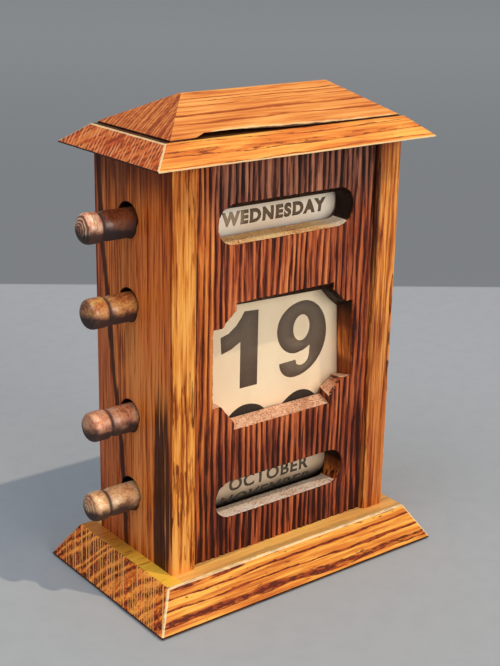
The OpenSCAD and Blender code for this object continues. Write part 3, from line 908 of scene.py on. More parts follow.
def raw_end_grain():
    material, _, space = new_material("raw_oak")
    x, y, z = split(space)
    speck = stretched_noise(space, (1.1, 1.1, 0.5), detail=2.5, roughness=0.85)
    cloud = stretched_noise(space, (0.1, 0.1, 0.1))
    tone = speck + (cloud - 0.5) * 0.3
    # Painted light: the back part of each sill is lifted towards a bright tone.
    deep = smooth_step(y, -21.0, -18.0, 0.0, 0.45)
    colour = ramp(tone, [(0.34, (150, 84, 52)), (0.48, (222, 160, 122)), (0.62, (255, 216, 184))])
    amber = ramp(tone, [(0.38, (140, 64, 24)), (0.47, (244, 156, 74)), (0.56, (255, 230, 172))])
    amber = blend(deep, amber, (255, 192, 112))
    # Painted light: a near-white patch at the day sill's right end.
    amber = blend(smooth_step(x, 18.0, 34.0, 0.0, 0.7), amber, (255, 246, 228))
    chalk = ramp(tone, [(0.36, (150, 92, 66)), (0.46, (246, 198, 168)), (0.56, (255, 246, 232))])
    chalk = blend(deep, chalk, (255, 232, 200))
    colour = blend(smooth_step(z, 138.0, 140.0), colour, amber)
    colour = blend(smooth_step(z, 66.0, 64.0), colour, chalk)
    return surface(material, colour, smooth_step(speck, 0.2, 0.8, 0.7, 0.95), (speck, 0.4, 0.7))


def shaded_window_tops(place, colour):
    """Painted shade: the window walls are darkened to nearly black at their tops, through brown further down.
    """
    z = split(place)[2]
    for ring, black, brown, clear in zip(WINDOWS, (0.85, 0.22, 0.42), (1.15, 0.4, 0.6), (1.6, 0.5, 0.9)):
        top = max(p[1] for p in ring) / MM
        tall = top - min(p[1] for p in ring) / MM
        down = (top + 0.5 - z) / tall
        here = (down > -0.1) * (down < 1.2)
        colour = blend(smooth_step(down, brown, clear, 0.8, 0.0) * here, colour, (96, 40, 18))
        colour = blend(smooth_step(down, black, brown, 0.95, 0.0) * here, colour, (22, 10, 6))
        if tall > 30:
            colour = blend(smooth_step(down, 0.66, 0.74, 0.0, 0.75) * here, colour, (112, 48, 20))
    return colour


RIBBED = stained_ribs()
RAW = raw_end_grain()
WALL = oak("stained_wall", "Z", (0, 30, 0), ((84, 32, 14), (178, 88, 34), (240, 150, 70)), (66, 28, 12),
           ring_width=3.0, cloud_depth=2.4, fibre_depth=1.8, pore_share=0.8, marks=shaded_window_tops, shine=0.1)
print("panel finishes ready")

# %% [markdown]
# ## A tree that planes, brushes and saws the panel
#
# The tree starts from a block of many small faces. Set Position brushes its front, Mesh Boolean saws
# the windows with the plugs, and Set Material finishes the faces inside them: those that look up are
# raw sills, and the rest are stained walls.

# %% The panel's geometry tree
def cut(meshes, operation):
    return add("GeometryNodeMeshBoolean", meshes, operation=operation, solver="EXACT")


def panel_tree():
    tree, start = new_group("ribbed panel", "GeometryNodeTree", {
        "Geometry": "Geometry", "Vector": "Size, Middle", "Int": "Columns, Rows", "Float": "Brushed Depth",
        "Object": "Plugs", "Material": "Stained, Walls, Sills"}, {"Geometry": "Geometry"})
    size, middle, depth = start["Size"], start["Middle"], start["Brushed Depth"]

    block = add("GeometryNodeMeshCube", {"Size": size, "Vertices X": start["Columns"], "Vertices Y": 2,
                                         "Vertices Z": start["Rows"]}, out="Mesh")
    placed = add("GeometryNodeTransform", {"Geometry": block, "Translation": middle})
    place = add("GeometryNodeInputPosition")
    from_middle = split(vector_math("SUBTRACT", place, middle))
    push = (1.0 - rib_height(place)) * depth * (from_middle[1] < 0.0)
    brushed = add("GeometryNodeSetPosition", {"Geometry": placed, "Offset": vector(y=push)})

    plug = add("GeometryNodeObjectInfo", {"Object": start["Plugs"]}, out="Geometry")
    sawn = cut({"Mesh 1": brushed, "Mesh 2": plug}, "DIFFERENCE")

    half = split(vector_math("SCALE", size, 0.5))
    looks = split(add("GeometryNodeInputNormal"))
    rim_x, _, rim_z = [h - abs(d) > 1.0 * MM for h, d in zip(half, from_middle)]
    behind = from_middle[1] + half[1]
    wall = (abs(looks[1]) < 0.35) * (behind > 0.6 * MM)
    hanging = (looks[2] < -0.3) * (behind > 0.25 * MM)
    inside = math_node("MAXIMUM", wall, hanging) * rim_x * rim_z
    height = split(place)[2]
    level = 0.8 - (height > 66 * MM) * (height < 138 * MM) * 0.5
    sill = inside * (looks[2] > level)
    finished = add("GeometryNodeRealizeInstances", {0: sawn})
    for name, where in (("Stained", True), ("Walls", inside), ("Sills", sill)):
        finished = add("GeometryNodeSetMaterial", {"Geometry": finished, "Selection": where,
                                                   "Material": start[name]})
    make_node("NodeGroupOutput", {0: finished})
    return tree


def geometry_piece(name, tree, values):
    """An object whose modifier runs the tree with these named values, turned into a plain mesh."""
    made = bpy.data.objects.new(name, bpy.data.meshes.new(name))
    bpy.context.scene.collection.objects.link(made)
    modifier = made.modifiers.new("tree", "NODES")
    modifier.node_group = tree
    keys = {item.name: item.identifier for item in tree.interface.items_tree if item.in_out == "INPUT"}
    for value_name, value in values.items():
        modifier[keys[value_name]] = value
    return applied(made)


# %% Make the panel
def melt_back(made, plane):
    """Melts the many small coplanar faces behind a plane into a few large ones."""
    shape = bmesh.new()
    shape.from_mesh(made.data)
    bmesh.ops.remove_doubles(shape, verts=shape.verts, dist=1e-6)
    behind = [f for f in shape.faces if f.calc_center_median().y > plane]
    verts = list(dict.fromkeys(v for f in behind for v in f.verts))
    edges = list(dict.fromkeys(e for f in behind for e in f.edges))
    bmesh.ops.dissolve_limit(shape, angle_limit=math.radians(0.2), verts=verts, edges=edges)
    shape.to_mesh(made.data)
    shape.free()


panel = geometry_piece("front_panel_wood", panel_tree(), {
    "Size": PANEL_HIGH - PANEL_LOW, "Middle": (PANEL_LOW + PANEL_HIGH) / 2, "Columns": 330, "Rows": 76,
    "Brushed Depth": 0.55 * MM, "Plugs": plugs, "Stained": RIBBED, "Walls": WALL, "Sills": RAW})
bpy.data.objects.remove(plugs)
melt_back(panel, PANEL_HIGH.y - 0.01 * MM)
shade(panel, 40)
finish_piece(panel, "case", "oak_panel", "front_panel")

# %% [markdown]
# ## Knobs turned from dowel
#
# Each knob is a piece of dowel that a lathe has narrowed to a groove, with a rounded barrel in front
# and a shallow dome on its end. A lathe shape is a profile swept round an axis, so it is built ring by
# ring. The tool leaves faint ridges on the dome and the wood moves a little as it dries, so the rings
# are neither quite smooth nor quite round. The end grain drank more stain than the sides.

# %% Knob profile
KNOB_FACE = SIDE_LOW.x
DOWEL_RADIUS = 6.2 * MM
BARREL_RADIUS = 6.45 * MM
GROOVE_RADIUS = 5.2 * MM
END_ROUND = 3.3 * MM
END_DOME = 1.2 * MM
DOME_RINGS = 24


def arc(middle, reach, start, end, steps=12):
    """Points on an ellipse about the middle, between two angles in degrees."""
    points = []
    for k in range(steps + 1):
        angle = math.radians(start + (end - start) * k / steps)
        points.append((middle[0] + reach[0] * math.cos(angle), middle[1] + reach[1] * math.sin(angle)))
    return points


def round_corner(middle_r, middle_out, radius, start, end, steps):
    return arc((middle_r, middle_out), (radius, radius), start, end, steps)


def knob_profile(reach, groove, inside):
    """(radius, distance out of the case) from the dowel's inner end to the middle of the dome."""
    cove = BARREL_RADIUS - GROOVE_RADIUS
    profile = [(0.0, -inside), (DOWEL_RADIUS - 0.5 * MM, -inside), (DOWEL_RADIUS, 0.5 * MM - inside)]
    profile += [(DOWEL_RADIUS, 0.0), (DOWEL_RADIUS, groove - 4.2 * MM)]
    profile += round_corner(DOWEL_RADIUS - 6 * MM, groove - 4.2 * MM, 6 * MM, 3, 24, 6)
    profile += [(GROOVE_RADIUS + 0.3 * MM, groove - 0.7 * MM), (GROOVE_RADIUS, groove)]
    profile += round_corner(BARREL_RADIUS - cove, groove + cove, cove, -70, 0, 7)
    edge = reach - END_DOME - END_ROUND * 0.9
    profile += [(BARREL_RADIUS, groove + cove + (edge - groove - cove) * k / 6) for k in range(1, 6)]
    profile += round_corner(BARREL_RADIUS - END_ROUND, edge, END_ROUND, 0, 68, 8)
    rim_r, rim_out = profile[-1]
    for k in range(1, DOME_RINGS + 1):
        share = 1 - k / (DOME_RINGS + 1)
        profile.append((rim_r * share, reach - (reach - rim_out) * share * share))
    return profile


# %% Turn the knobs
def turned_piece(name, profile, axis, materials, segments=96, seed=0.0):
    shape = bmesh.new()
    rings = []
    for n, (radius, out) in enumerate(profile):
        if n == 0:
            rings.append([shape.verts.new((KNOB_FACE - out, axis.y, axis.z))])
            continue
        on_dome = n >= len(profile) - DOME_RINGS
        sunk = 0.06 * MM * (n % 2) if on_dome else 0.0
        ring = []
        for k in range(segments):
            angle = 2 * math.pi * k / segments
            wander = noise.noise(Vector((math.cos(angle), math.sin(angle), out * 60 + seed)) * 1.3)
            r = radius * (1 - 0.006 * (0.5 + 0.5 * wander))
            ring.append(shape.verts.new((KNOB_FACE - out + sunk, axis.y + r * math.cos(angle),
                                         axis.z + r * math.sin(angle))))
        rings.append(ring)
    rings.append([shape.verts.new((KNOB_FACE - max(out for _, out in profile), axis.y, axis.z))])
    for lower, upper in zip(rings, rings[1:]):
        for k in range(segments):
            j = (k + 1) % segments
            a = [lower[0]] if len(lower) == 1 else [lower[k], lower[j]]
            b = [upper[0]] if len(upper) == 1 else [upper[j], upper[k]]
            shape.faces.new(a + b)
    return as_object(shape, name, materials)


# %% Polished dowel
def dowel(name, axis, groove, tones, end_tone, shank_tone, ring_share, cycles, seed):
    """Fine-grained wood that took the stain in blotches.

    `end_tone` and `shank_tone` are what the end grain and the part behind the groove are tinted with.
    """
    material, place, millimetres = new_material(name)
    space = vector_math("SCALE", vector_math("ADD", place, (seed, -axis.y, -axis.z)), 1000.0)
    _, y, z = split(space)
    blotch = stretched_noise(space, (0.13, 0.2, 0.2), detail=3.0, roughness=0.6)
    speck = stretched_noise(space, cycles, detail=2.5, roughness=0.7)
    dark, middle, light = tones
    tone = (blotch - 0.5) * 1.2 + (speck - 0.5) * 0.9 + 0.5
    colour = ramp(tone, [(0.12, dark), (0.45, middle), (0.85, light)])
    out = KNOB_FACE / MM - groove - split(millimetres)[0]
    colour = tinted(smooth_step(out, -0.6, 0.6, 1.0, 0.0), colour, shank_tone)
    # Painted shade: the knob's lower side is darkened nearly to black.
    underside_shade = smooth_step(z + (blotch - 0.5) * 8.0, 3.2, -2.2, 0.0, 0.98)
    colour = tinted(underside_shade, colour, (0.05, 0.025, 0.02))
    distance = vector_math("LENGTH", vector(y=y, z=z))
    rings = smooth_step(math_node("SINE", (distance + blotch * 2.0) * 4.8), -0.3, 0.8, 0.0, ring_share)
    across = facing(0, 0, 0.35, 0.7) * smooth_step(out, 3.0, 4.0)
    colour = blend(across, colour, blend(rings, tinted(1.0, colour, end_tone), colour))
    # Painted shade: the groove and the wood beside it are darkened.
    crease_shade = smooth_step(abs(out), 0.35, 1.7, 0.9, 0.0)
    rough = smooth_step(speck, 0.3, 0.7, 0.22, 0.38) + math_node("MAXIMUM", crease_shade, underside_shade) * 0.5
    return surface(material, blend(crease_shade, colour, (50, 22, 12)), rough, (speck, 0.12, 0.35), 0.75)


# Body, reach and groove in mm, tones, tints of end grain and shank, share and cycles of the figure
KNOBS = {
    "day_knob": ("day", 23.1, 14.5, ((128, 64, 42), (232, 154, 114), (255, 224, 186)),
                 (0.24, 0.18, 0.16), (0.2, 0.11, 0.07), 0.95, (1.0, 0.35, 0.35)),
    "date_knob_upper": ("date_upper", 21.9, 12.2, ((98, 48, 26), (206, 120, 66), (255, 196, 108)),
                        (0.45, 0.42, 0.42), (0.8, 0.75, 0.75), 0.4, (0.7, 1.0, 1.0)),
    "date_knob_lower": ("date_lower", 22.2, 12.0, ((140, 72, 48), (226, 148, 106), (255, 198, 156)),
                        (0.55, 0.5, 0.46), (0.82, 0.8, 0.78), 0.15, (0.9, 0.5, 0.5)),
    "month_knob": ("month", 22.4, 13.6, ((150, 86, 50), (240, 174, 118), (255, 226, 176)),
                   (0.42, 0.3, 0.25), (1.0, 1.0, 1.0), 0.5, (0.8, 1.2, 1.2)),
}
for number, (name, (body, reach, groove, *look)) in enumerate(KNOBS.items()):
    axis = ROLLER_AXIS[body]
    wood = dowel(name + "_wood", axis, groove, *look, 0.031 * number)
    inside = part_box(name)[1].x - KNOB_FACE
    knob = turned_piece(name + "_turned", knob_profile(reach * MM, groove * MM, inside), axis, [wood],
                        seed=7.0 * number)
    shade(knob, 50)
    finish_piece(knob, body, "knob_wood", name)

# %% [markdown]
# ## Paper
#
# The names are printed on sheets glued round the drums, and the dates on a long band. Paper is a closed
# skin of its own thickness, not a bare surface, so that it has an edge where it ends. The band comes
# over the upper coil, hangs straight down behind the date window and goes under the lower coil, so its
# section is one straight line with a quarter turn at each end. `band_place` maps a height along that
# line to a point in space and to the direction that the paper faces.

# %% Where the sheets lie
BAND_TOP = ROLLER_AXIS["date_upper"].z
BAND_FOOT = ROLLER_AXIS["date_lower"].z


def band_place(along):
    """(y, z) and outward (y, z) at a distance along the band, measured as a height."""
    middle_y = ROLLER_AXIS["date_upper"].y
    turn, middle_z = 0.0, along
    if along > BAND_TOP:
        turn, middle_z = (along - BAND_TOP) / BAND_RADIUS, BAND_TOP
    elif along < BAND_FOOT:
        turn, middle_z = (along - BAND_FOOT) / BAND_RADIUS, BAND_FOOT
    outward = (-math.cos(turn), math.sin(turn))
    return (middle_y + BAND_RADIUS * outward[0], middle_z + BAND_RADIUS * outward[1]), outward


def drum_place(body):
    """The same for a drum, where the distance is measured round it from its front."""
    axis = ROLLER_AXIS[body]

    def place(along):
        turn = along / DRUM_RADIUS
        outward = (-math.cos(turn), math.sin(turn))
        return (axis.y + DRUM_RADIUS * outward[0], axis.z + DRUM_RADIUS * outward[1]), outward
    return place


# %% Paper finishes
def paper(name, base, shade_colour, speck_depth, shade_drum=None):
    material, _, space = new_material(name)
    fibres = stretched_noise(space, (1.2, 1.2, 2.6), detail=4.0, roughness=0.7)
    clouds = stretched_noise(space, (0.05, 0.05, 0.03), detail=3.0)
    colour = blend(smooth_step(clouds, 0.3, 0.75), base, shade_colour)
    colour = blend(smooth_step(fibres, 0.55, 0.8, 0.0, speck_depth), colour, (176, 148, 116))
    if shade_drum:
        # Painted shade: the drum's paper darkens nearly to black on its lower front, where it turns away
        # under the sill.
        _, y, z = split(space)
        axis = ROLLER_AXIS[shade_drum] / MM
        down = math_node("ARCTAN2", axis.z - z, axis.y - y) * (DRUM_RADIUS / MM) + (clouds - 0.5) * 4.0
        painted_shade = smooth_step(down, 1.0, 10.5, 0.0, 0.94) * smooth_step(down, 22.0, 14.0)
        colour = blend(painted_shade, colour, (44, 32, 24))
    return surface(material, colour, smooth_step(fibres, 0.2, 0.8, 0.75, 0.95), (fibres, 0.05, 0.3))


DATE_PAPER = paper("date_linen", (252, 228, 190), (242, 214, 176), 0.3)
NAME_PAPER = paper("name_paper", (255, 243, 224), (248, 226, 198), 0.3)
# Painted shade darkens this paper's lower front.
MONTH_PAPER = paper("shaded_name_paper", (214, 188, 158), (192, 164, 132), 0.4, shade_drum="month")
print("papers ready")

# %% Make the sheets
def sheet_piece(name, place, stations, half_width, material, closed=False):
    """A sheet whose section follows the stations, as a closed skin of the sheet's thickness."""
    shape = bmesh.new()
    rows = []
    for along in stations:
        (y, z), (fy, fz) = place(along)
        rows.append([shape.verts.new((x, y - fy * deep, z - fz * deep))
                     for x, deep in ((-half_width, 0.0), (half_width, 0.0), (half_width, SHEET),
                                     (-half_width, SHEET))])
    pairs = list(zip(rows, rows[1:])) + ([(rows[-1], rows[0])] if closed else [])
    for lower, upper in pairs:
        for k in range(4):
            shape.faces.new((lower[k], lower[(k + 1) % 4], upper[(k + 1) % 4], upper[k]))
    if not closed:
        shape.faces.new(rows[0][::-1])
        shape.faces.new(rows[-1])
    return shade(as_object(shape, name, [material]), 40)


quarter = math.pi / 2 * BAND_RADIUS
stations = [BAND_FOOT - quarter * (1 - k / 24) for k in range(24)]
stations += [BAND_FOOT + (BAND_TOP - BAND_FOOT) * k / 12 for k in range(12)]
stations += [BAND_TOP + quarter * k / 24 for k in range(25)]
band = sheet_piece("date_band_sheet", band_place, stations, BAND_HIGH.x, DATE_PAPER)
finish_piece(band, "case", "date_paper", "date_band")

ROUND = 2 * math.pi * DRUM_RADIUS
for body, finish in (("day", NAME_PAPER), ("month", MONTH_PAPER)):
    wrapped = sheet_piece(body + "_paper_sheet", drum_place(body), [ROUND * k / 128 for k in range(128)],
                          PAPER_HIGH.x, finish, closed=True)
    finish_piece(wrapped, body, "name_paper", body + "_paper")

# %% [markdown]
# ## Printing
#
# Printed figures could be painted by a material, but real letter shapes need outlines, and Blender
# keeps outlines as meshes. Each letter becomes a very thin plate of ink: its flat outline is filled,
# sliced into strips so that it can bend, given a thickness, and laid on the paper with the same
# `band_place` or `drum_place` that made the paper. The ink rides on the body that carries its sheet.

# %% Ink finishes
def ink(name, base, worn, wear, fade_left=None):
    """Printer's ink. `wear` is the share that has rubbed thin, `fade_left` an x in mm where it pales."""
    material, _, space = new_material(name)
    grain = stretched_noise(space, (2.2, 2.2, 2.2), detail=3.0, roughness=0.7)
    share = smooth_step(grain, 0.62, 0.4, 0.0, wear)
    if fade_left is not None:
        fade_and_shade = smooth_step(split(space)[0], fade_left, fade_left - 4.0, 0.0, 0.5)
        share = math_node("ADD", share, fade_and_shade, clamp=True)
    return surface(material, blend(share, base, worn), smooth_step(grain, 0.2, 0.8, 0.75, 0.95), shine=0.15)


DATE_INK = ink("date_ink", (100, 84, 70), (150, 130, 110), 0.5)
FRESH_INK = ink("fresh_ink", (52, 44, 38), (84, 72, 62), 0.4)
DAY_INK = ink("day_ink", (92, 72, 54), (196, 172, 140), 0.25, fade_left=-12.0)
MONTH_INK = ink("month_ink", (64, 56, 48), (160, 142, 118), 0.3)
print("inks ready")

# %% Lay a flat outline on paper as a thin plate
INK_DEPTH = 0.03 * MM


def printed_piece(name, flat, place, low, high, step, material):
    """`flat` is a filled mesh in x and y; y is the distance along the paper, from low to high."""
    if any(v.co.y < low for v in flat.verts):
        saw(flat, (0, low, 0), (0, -1, 0), clear_outer=True)
    if any(v.co.y > high for v in flat.verts):
        saw(flat, (0, high, 0), (0, 1, 0), clear_outer=True)
    heights = [v.co.y for v in flat.verts]
    if step:
        for k in range(1, math.ceil((max(heights) - min(heights)) / step)):
            saw(flat, (0, min(heights) + k * step, 0), (0, 1, 0))
    for f in flat.faces:
        if f.normal.z < 0:
            f.normal_flip()
    grown = bmesh.ops.extrude_face_region(flat, geom=flat.faces[:])
    lifted = {v for v in grown["geom"] if isinstance(v, bmesh.types.BMVert)}
    for v in flat.verts:
        (y, z), (fy, fz) = place(v.co.y)
        lift = INK_DEPTH if v in lifted else -INK_DEPTH
        v.co = Vector((v.co.x, y + fy * lift, z + fz * lift))
    return as_object(flat, name, [material])


# %% [markdown]
# ### The dates
#
# The figures are bold ones with flat ends. They are drawn from straight lines and quarter ellipses,
# which is how such figures are cut, so `arc` comes back here. A closed outline is a list of
# points in millimetres from the figure's own left foot.

# %% Outlines of the figures
def egg(middle, reach, steps=40):
    return arc(middle, reach, 0, 360 - 360 / steps, steps - 1)


def figure_one():
    outline = [(13.7, 34.8), (21.3, 34.3), (21.3, 0.0), (11.8, 0.0), (11.8, 21.4), (7.0, 19.0), (1.7, 17.6),
               (1.2, 25.2), (5.4, 26.3), (9.4, 29.1), (12.2, 32.4)]
    return [outline]


def figure_nine():
    outline = [(1.7, 6.6)] + arc((10.4, 6.6), (8.7, 7.8), 185, 268)
    outline += arc((10.4, 17.2), (18.0, 18.4), -88, 0)
    outline += arc((14.2, 17.2), (14.2, 16.7), 4, 90) + arc((14.2, 22.2), (14.2, 11.7), 94, 180)
    outline += arc((11.2, 22.2), (11.2, 12.2), 184, 270) + [(15.2, 10.7), (19.0, 12.4), (18.6, 7.4)]
    outline += arc((14.3, 8.2), (4.3, 4.4), 0, -130, 9) + [(10.9, 6.9)]
    return [outline, egg((13.8, 21.5), (4.65, 6.0))]


def figure_zero():
    return [egg((14.2, 17.2), (14.2, 17.7), 56), egg((14.2, 17.2), (4.7, 12.1))]


def figure_two():
    outline = [(0.0, 0.0), (27.0, 0.0), (27.0, 5.8), (14.0, 5.8)] + [(17.5, 9.6), (22.5, 14.0)]
    outline += arc((12.4, 23.6), (13.8, 11.3), -40, 90, 16) + arc((12.4, 23.6), (11.4, 11.3), 94, 178, 10)
    outline += [(10.2, 24.2)] + arc((12.9, 24.4), (3.9, 4.6), 165, -40, 14) + [(8.0, 11.5), (2.0, 5.4)]
    return [outline]


def figure_eight():
    sides = []
    for k in range(61):
        v = -0.5 + 35.4 * k / 60
        lower = max(0.0, 1 - ((v - 9.9) / 10.4) ** 2) ** 0.5 * 14.1
        upper = max(0.0, 1 - ((v - 25.6) / 9.3) ** 2) ** 0.5 * 12.8
        sides.append((max(lower, upper, 0.05), v))
    outline = [(14.1 + w, v) for w, v in sides] + [(14.1 - w, v) for w, v in reversed(sides)]
    return [outline, egg((14.1, 9.9), (4.9, 4.7)), egg((14.1, 25.8), (4.2, 3.8))]


print("figures drawn")

# %% Print the three dates nearest the window
def filled(outlines, left, foot):
    flat = bmesh.new()
    for outline in outlines:
        kept = [p for p, q in zip(outline, outline[1:] + outline[:1]) if math.dist(p, q) > 0.02]
        ring = [flat.verts.new(((left + x) * MM, foot + y * MM, 0.0)) for x, y in kept]
        for a, b in zip(ring, ring[1:] + ring[:1]):
            flat.edges.new((a, b))
    bmesh.ops.triangle_fill(flat, use_beauty=True, edges=flat.edges)
    return flat


DATE_PITCH = 43.0 * MM
FOOT_OF_DATE = 87.1 * MM
BAND_REACH = 1.5 * BAND_RADIUS
DATES = (("19", 0.0, ((figure_one, -26.6), (figure_nine, 5.3))),
         ("20", -DATE_PITCH, ((figure_two, -24.0), (figure_zero, 5.0))),
         ("18", DATE_PITCH, ((figure_one, -26.6), (figure_eight, 5.2))))
for date, shift, figures in DATES:
    for number, (figure, left) in enumerate(figures):
        flat = filled(figure(), left, FOOT_OF_DATE + shift)
        step = None if date == "19" else 1.0 * MM
        plate = printed_piece(f"date_{date}_{number}", flat, band_place, BAND_FOOT - BAND_REACH,
                              BAND_TOP + BAND_REACH, step, DATE_INK if date == "19" else FRESH_INK)
        finish_piece(plate, "case", "date_paper")

# %% [markdown]
# ### The names
#
# Blender's own typeface gives the letters. A text object is turned into a mesh before it is placed,
# and its `offset` fattens the strokes for the bold day names. A word is scaled to the width and the
# capital height that the printer used, and takes its share of the drum's round: a seventh for a day
# and a twelfth for a month. The next name always stands below the one that shows.

# %% Set a word in type
def typeset(word, width, capital, weight, middle, foot):
    """A filled flat word: width and capital height in mm, centred on middle, standing on foot."""
    curve = bpy.data.curves.new(word, "FONT")
    curve.body = word
    curve.size = 10.0
    curve.offset = weight
    curve.resolution_u = 4
    curve.space_character = 1.04 + 0.28 * weight
    text = bpy.data.objects.new(word, curve)
    bpy.context.scene.collection.objects.link(text)
    graph = bpy.context.evaluated_depsgraph_get()
    mesh = bpy.data.meshes.new_from_object(text.evaluated_get(graph))
    bpy.data.objects.remove(text)
    flat = bmesh.new()
    flat.from_mesh(mesh)
    bmesh.ops.remove_doubles(flat, verts=flat.verts, dist=1e-4)
    xs = [v.co.x for v in flat.verts]
    ys = [v.co.y for v in flat.verts]
    across = width / (max(xs) - min(xs))
    upward = capital / (max(ys) - min(ys))
    for v in flat.verts:
        v.co = Vector(((middle + (v.co.x - (min(xs) + max(xs)) / 2) * across) * MM,
                       (foot + (v.co.y - min(ys)) * upward) * MM, 0.0))
    return flat


# %% Print the names on the drums
DAYS = ("WEDNESDAY", "THURSDAY", "FRIDAY", "SATURDAY", "SUNDAY", "MONDAY", "TUESDAY")
MONTHS = ("OCTOBER", "NOVEMBER", "DECEMBER", "JANUARY", "FEBRUARY", "MARCH", "APRIL", "MAY", "JUNE", "JULY",
          "AUGUST", "SEPTEMBER")


def print_names(body, names, letter_width, capital, weight, middle, foot, material):
    pitch = ROUND / MM / len(names)
    for number, name in enumerate(names):
        width = letter_width * (len(name) - 0.45 * name.count("I") + 0.15 * name.count("W"))
        stand = foot - pitch * number
        if stand < -ROUND / MM / 2:
            stand += ROUND / MM
        flat = typeset(name, width, capital, weight, middle, stand)
        plate = printed_piece(f"{body}_{name.lower()}", flat, drum_place(body), -1.0, 1.0, 0.9 * MM, material)
        finish_piece(plate, body, "name_paper")


print_names("day", DAYS, 6.15, 6.3, 0.62, 2.9, -3.9, DAY_INK)
print_names("month", MONTHS, 6.55, 6.5, 0.3, 3.6, -3.6, MONTH_INK)

# %% [markdown]
# ## Back screws
#
# Six round-headed screws hold the back. One screw repeated on a grid of points is the plainest use of
# Geometry Nodes: a dome is cut from a ball, a slot is cut across it, and the screw is instanced on the
# points with a random turn, because nobody lines up screw slots by accident.

# %% Brass
def brass_material():
    material, _, space = new_material("screw_brass")
    tarnish = stretched_noise(space, (1.4, 1.4, 1.4), detail=4.0)
    colour = blend(smooth_step(tarnish, 0.4, 0.7), (214, 170, 92), (150, 108, 56))
    return surface(material, colour, smooth_step(tarnish, 0.3, 0.8, 0.25, 0.55), Metallic=1.0)


BRASS = brass_material()

# %% The screws' geometry tree
def screw_tree():
    tree, start = new_group("screws on a grid", "GeometryNodeTree", {
        "Geometry": "Geometry", "Vector": "Middle", "Int": "Rows", "Material": "Finish",
        "Float": "Across, Up, Head Radius, Head Height, Shank Radius, Length"}, {"Geometry": "Geometry"})
    radius, height, length = start["Head Radius"], start["Head Height"], start["Length"]
    wide = radius * 3.0

    def lifted(shape, rise):
        return add("GeometryNodeTransform", {"Geometry": shape, "Translation": vector(z=rise)})

    ball_radius = (radius * radius + height * height) / (height * 2.0)
    ball = add("GeometryNodeMeshUVSphere", {"Segments": 40, "Rings": 24, "Radius": ball_radius})
    above = add("GeometryNodeMeshCube", {"Size": vector(wide, wide, height * 2.0)})
    head = cut({"Mesh 2": [lifted(ball, height - ball_radius), lifted(above, height)]}, "INTERSECT")
    shank = add("GeometryNodeMeshCylinder", {"Vertices": 24, "Radius": start["Shank Radius"],
                                             "Depth": length})
    whole = cut({"Mesh 2": [head, lifted(shank, length * -0.49)]}, "UNION")
    slot = add("GeometryNodeMeshCube", {"Size": vector(wide, radius * 0.3, height)})
    screw = cut({"Mesh 1": whole, "Mesh 2": lifted(slot, height * 0.95)}, "DIFFERENCE")

    quarter_back = (math.radians(-90), 0.0, 0.0)
    grid = add("GeometryNodeMeshGrid", {"Size X": start["Across"], "Size Y": start["Up"], "Vertices X": 2,
                                        "Vertices Y": start["Rows"]})
    stood = add("GeometryNodeTransform", {"Geometry": grid, "Translation": start["Middle"],
                                          "Rotation": quarter_back})
    spin = add("FunctionNodeRandomValue", {2: 0.0, 3: math.pi, "Seed": 5}, out=1)
    turned = add("FunctionNodeAxisAngleToRotation", {"Axis": (0.0, 0.0, 1.0), "Angle": spin})
    outward = add("FunctionNodeEulerToRotation", {0: quarter_back})
    both = add("FunctionNodeRotateRotation", {"Rotation": outward, "Rotate By": turned},
               rotation_space="LOCAL")
    placed = add("GeometryNodeInstanceOnPoints", {"Points": stood, "Instance": screw, "Rotation": both})
    real = add("GeometryNodeRealizeInstances", {0: placed})
    done = add("GeometryNodeSetMaterial", {"Geometry": real, "Material": start["Finish"]})
    make_node("NodeGroupOutput", {0: done})
    return tree


# %% Make the back screws
SCREW_LOW, SCREW_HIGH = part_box("back_screws")
BACK_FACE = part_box("back_panel")[1].y
HEAD_RADIUS = 2.3 * MM
screws = geometry_piece("back_screws_brass", screw_tree(), {
    "Middle": Vector((0.0, BACK_FACE, (SCREW_LOW.z + SCREW_HIGH.z) / 2)), "Rows": 3,
    "Across": SCREW_HIGH.x - SCREW_LOW.x - 2 * HEAD_RADIUS,
    "Up": SCREW_HIGH.z - SCREW_LOW.z - 2 * HEAD_RADIUS,
    "Head Radius": HEAD_RADIUS, "Head Height": SCREW_HIGH.y - BACK_FACE, "Shank Radius": 1.2 * MM,
    "Length": BACK_FACE - SCREW_LOW.y, "Finish": BRASS})
shade(screws, 35)
finish_piece(screws, "case", "brass", "back_screws")

# %% [markdown]
# ## Pieces that keep their engineering mesh
#
# Rollers, coils, pivots, hidden screws and the felt are already the right shape. They only need a
# finish: turned beech for the rollers and dowels, the wound band's linen, dull steel, and baize.

# %% Finishes for the plain pieces
def felt_material():
    material, _, space = new_material("baize")
    fluff = stretched_noise(space, (1.8, 1.8, 1.8), detail=5.0, roughness=0.75)
    colour = blend(smooth_step(fluff, 0.35, 0.7), (22, 20, 19), (48, 44, 42))
    return surface(material, colour, 1.0, (fluff, 0.3, 0.8), **{"Sheen Weight": 0.3})


def steel_material():
    material, _, space = new_material("dull_steel")
    scratch = stretched_noise(space, (3.0, 0.5, 3.0), detail=4.0)
    colour = blend(scratch, (150, 150, 152), (196, 196, 198))
    return surface(material, colour, smooth_step(scratch, 0.2, 0.8, 0.3, 0.55), Metallic=1.0)


BEECH = oak("turned_beech", "X", (0, 0, 60), ((176, 128, 84), (214, 172, 124), (234, 198, 154)),
            (150, 100, 62), ring_width=5.0, pore_share=0.2, ring_depth=0.12, gloss=0.5)
PLAIN = {"felt": felt_material(), "steel": steel_material(), "brass": BRASS, "roller_wood": BEECH,
         "dowel_wood": BEECH, "date_paper": DATE_PAPER, "name_paper": NAME_PAPER}
for piece in frame["nodes"].values():
    for slot in piece.material_slots:
        if slot.material and slot.material.name in PLAIN:
            slot.material = PLAIN[slot.material.name]
print("plain finishes:", ", ".join(PLAIN))

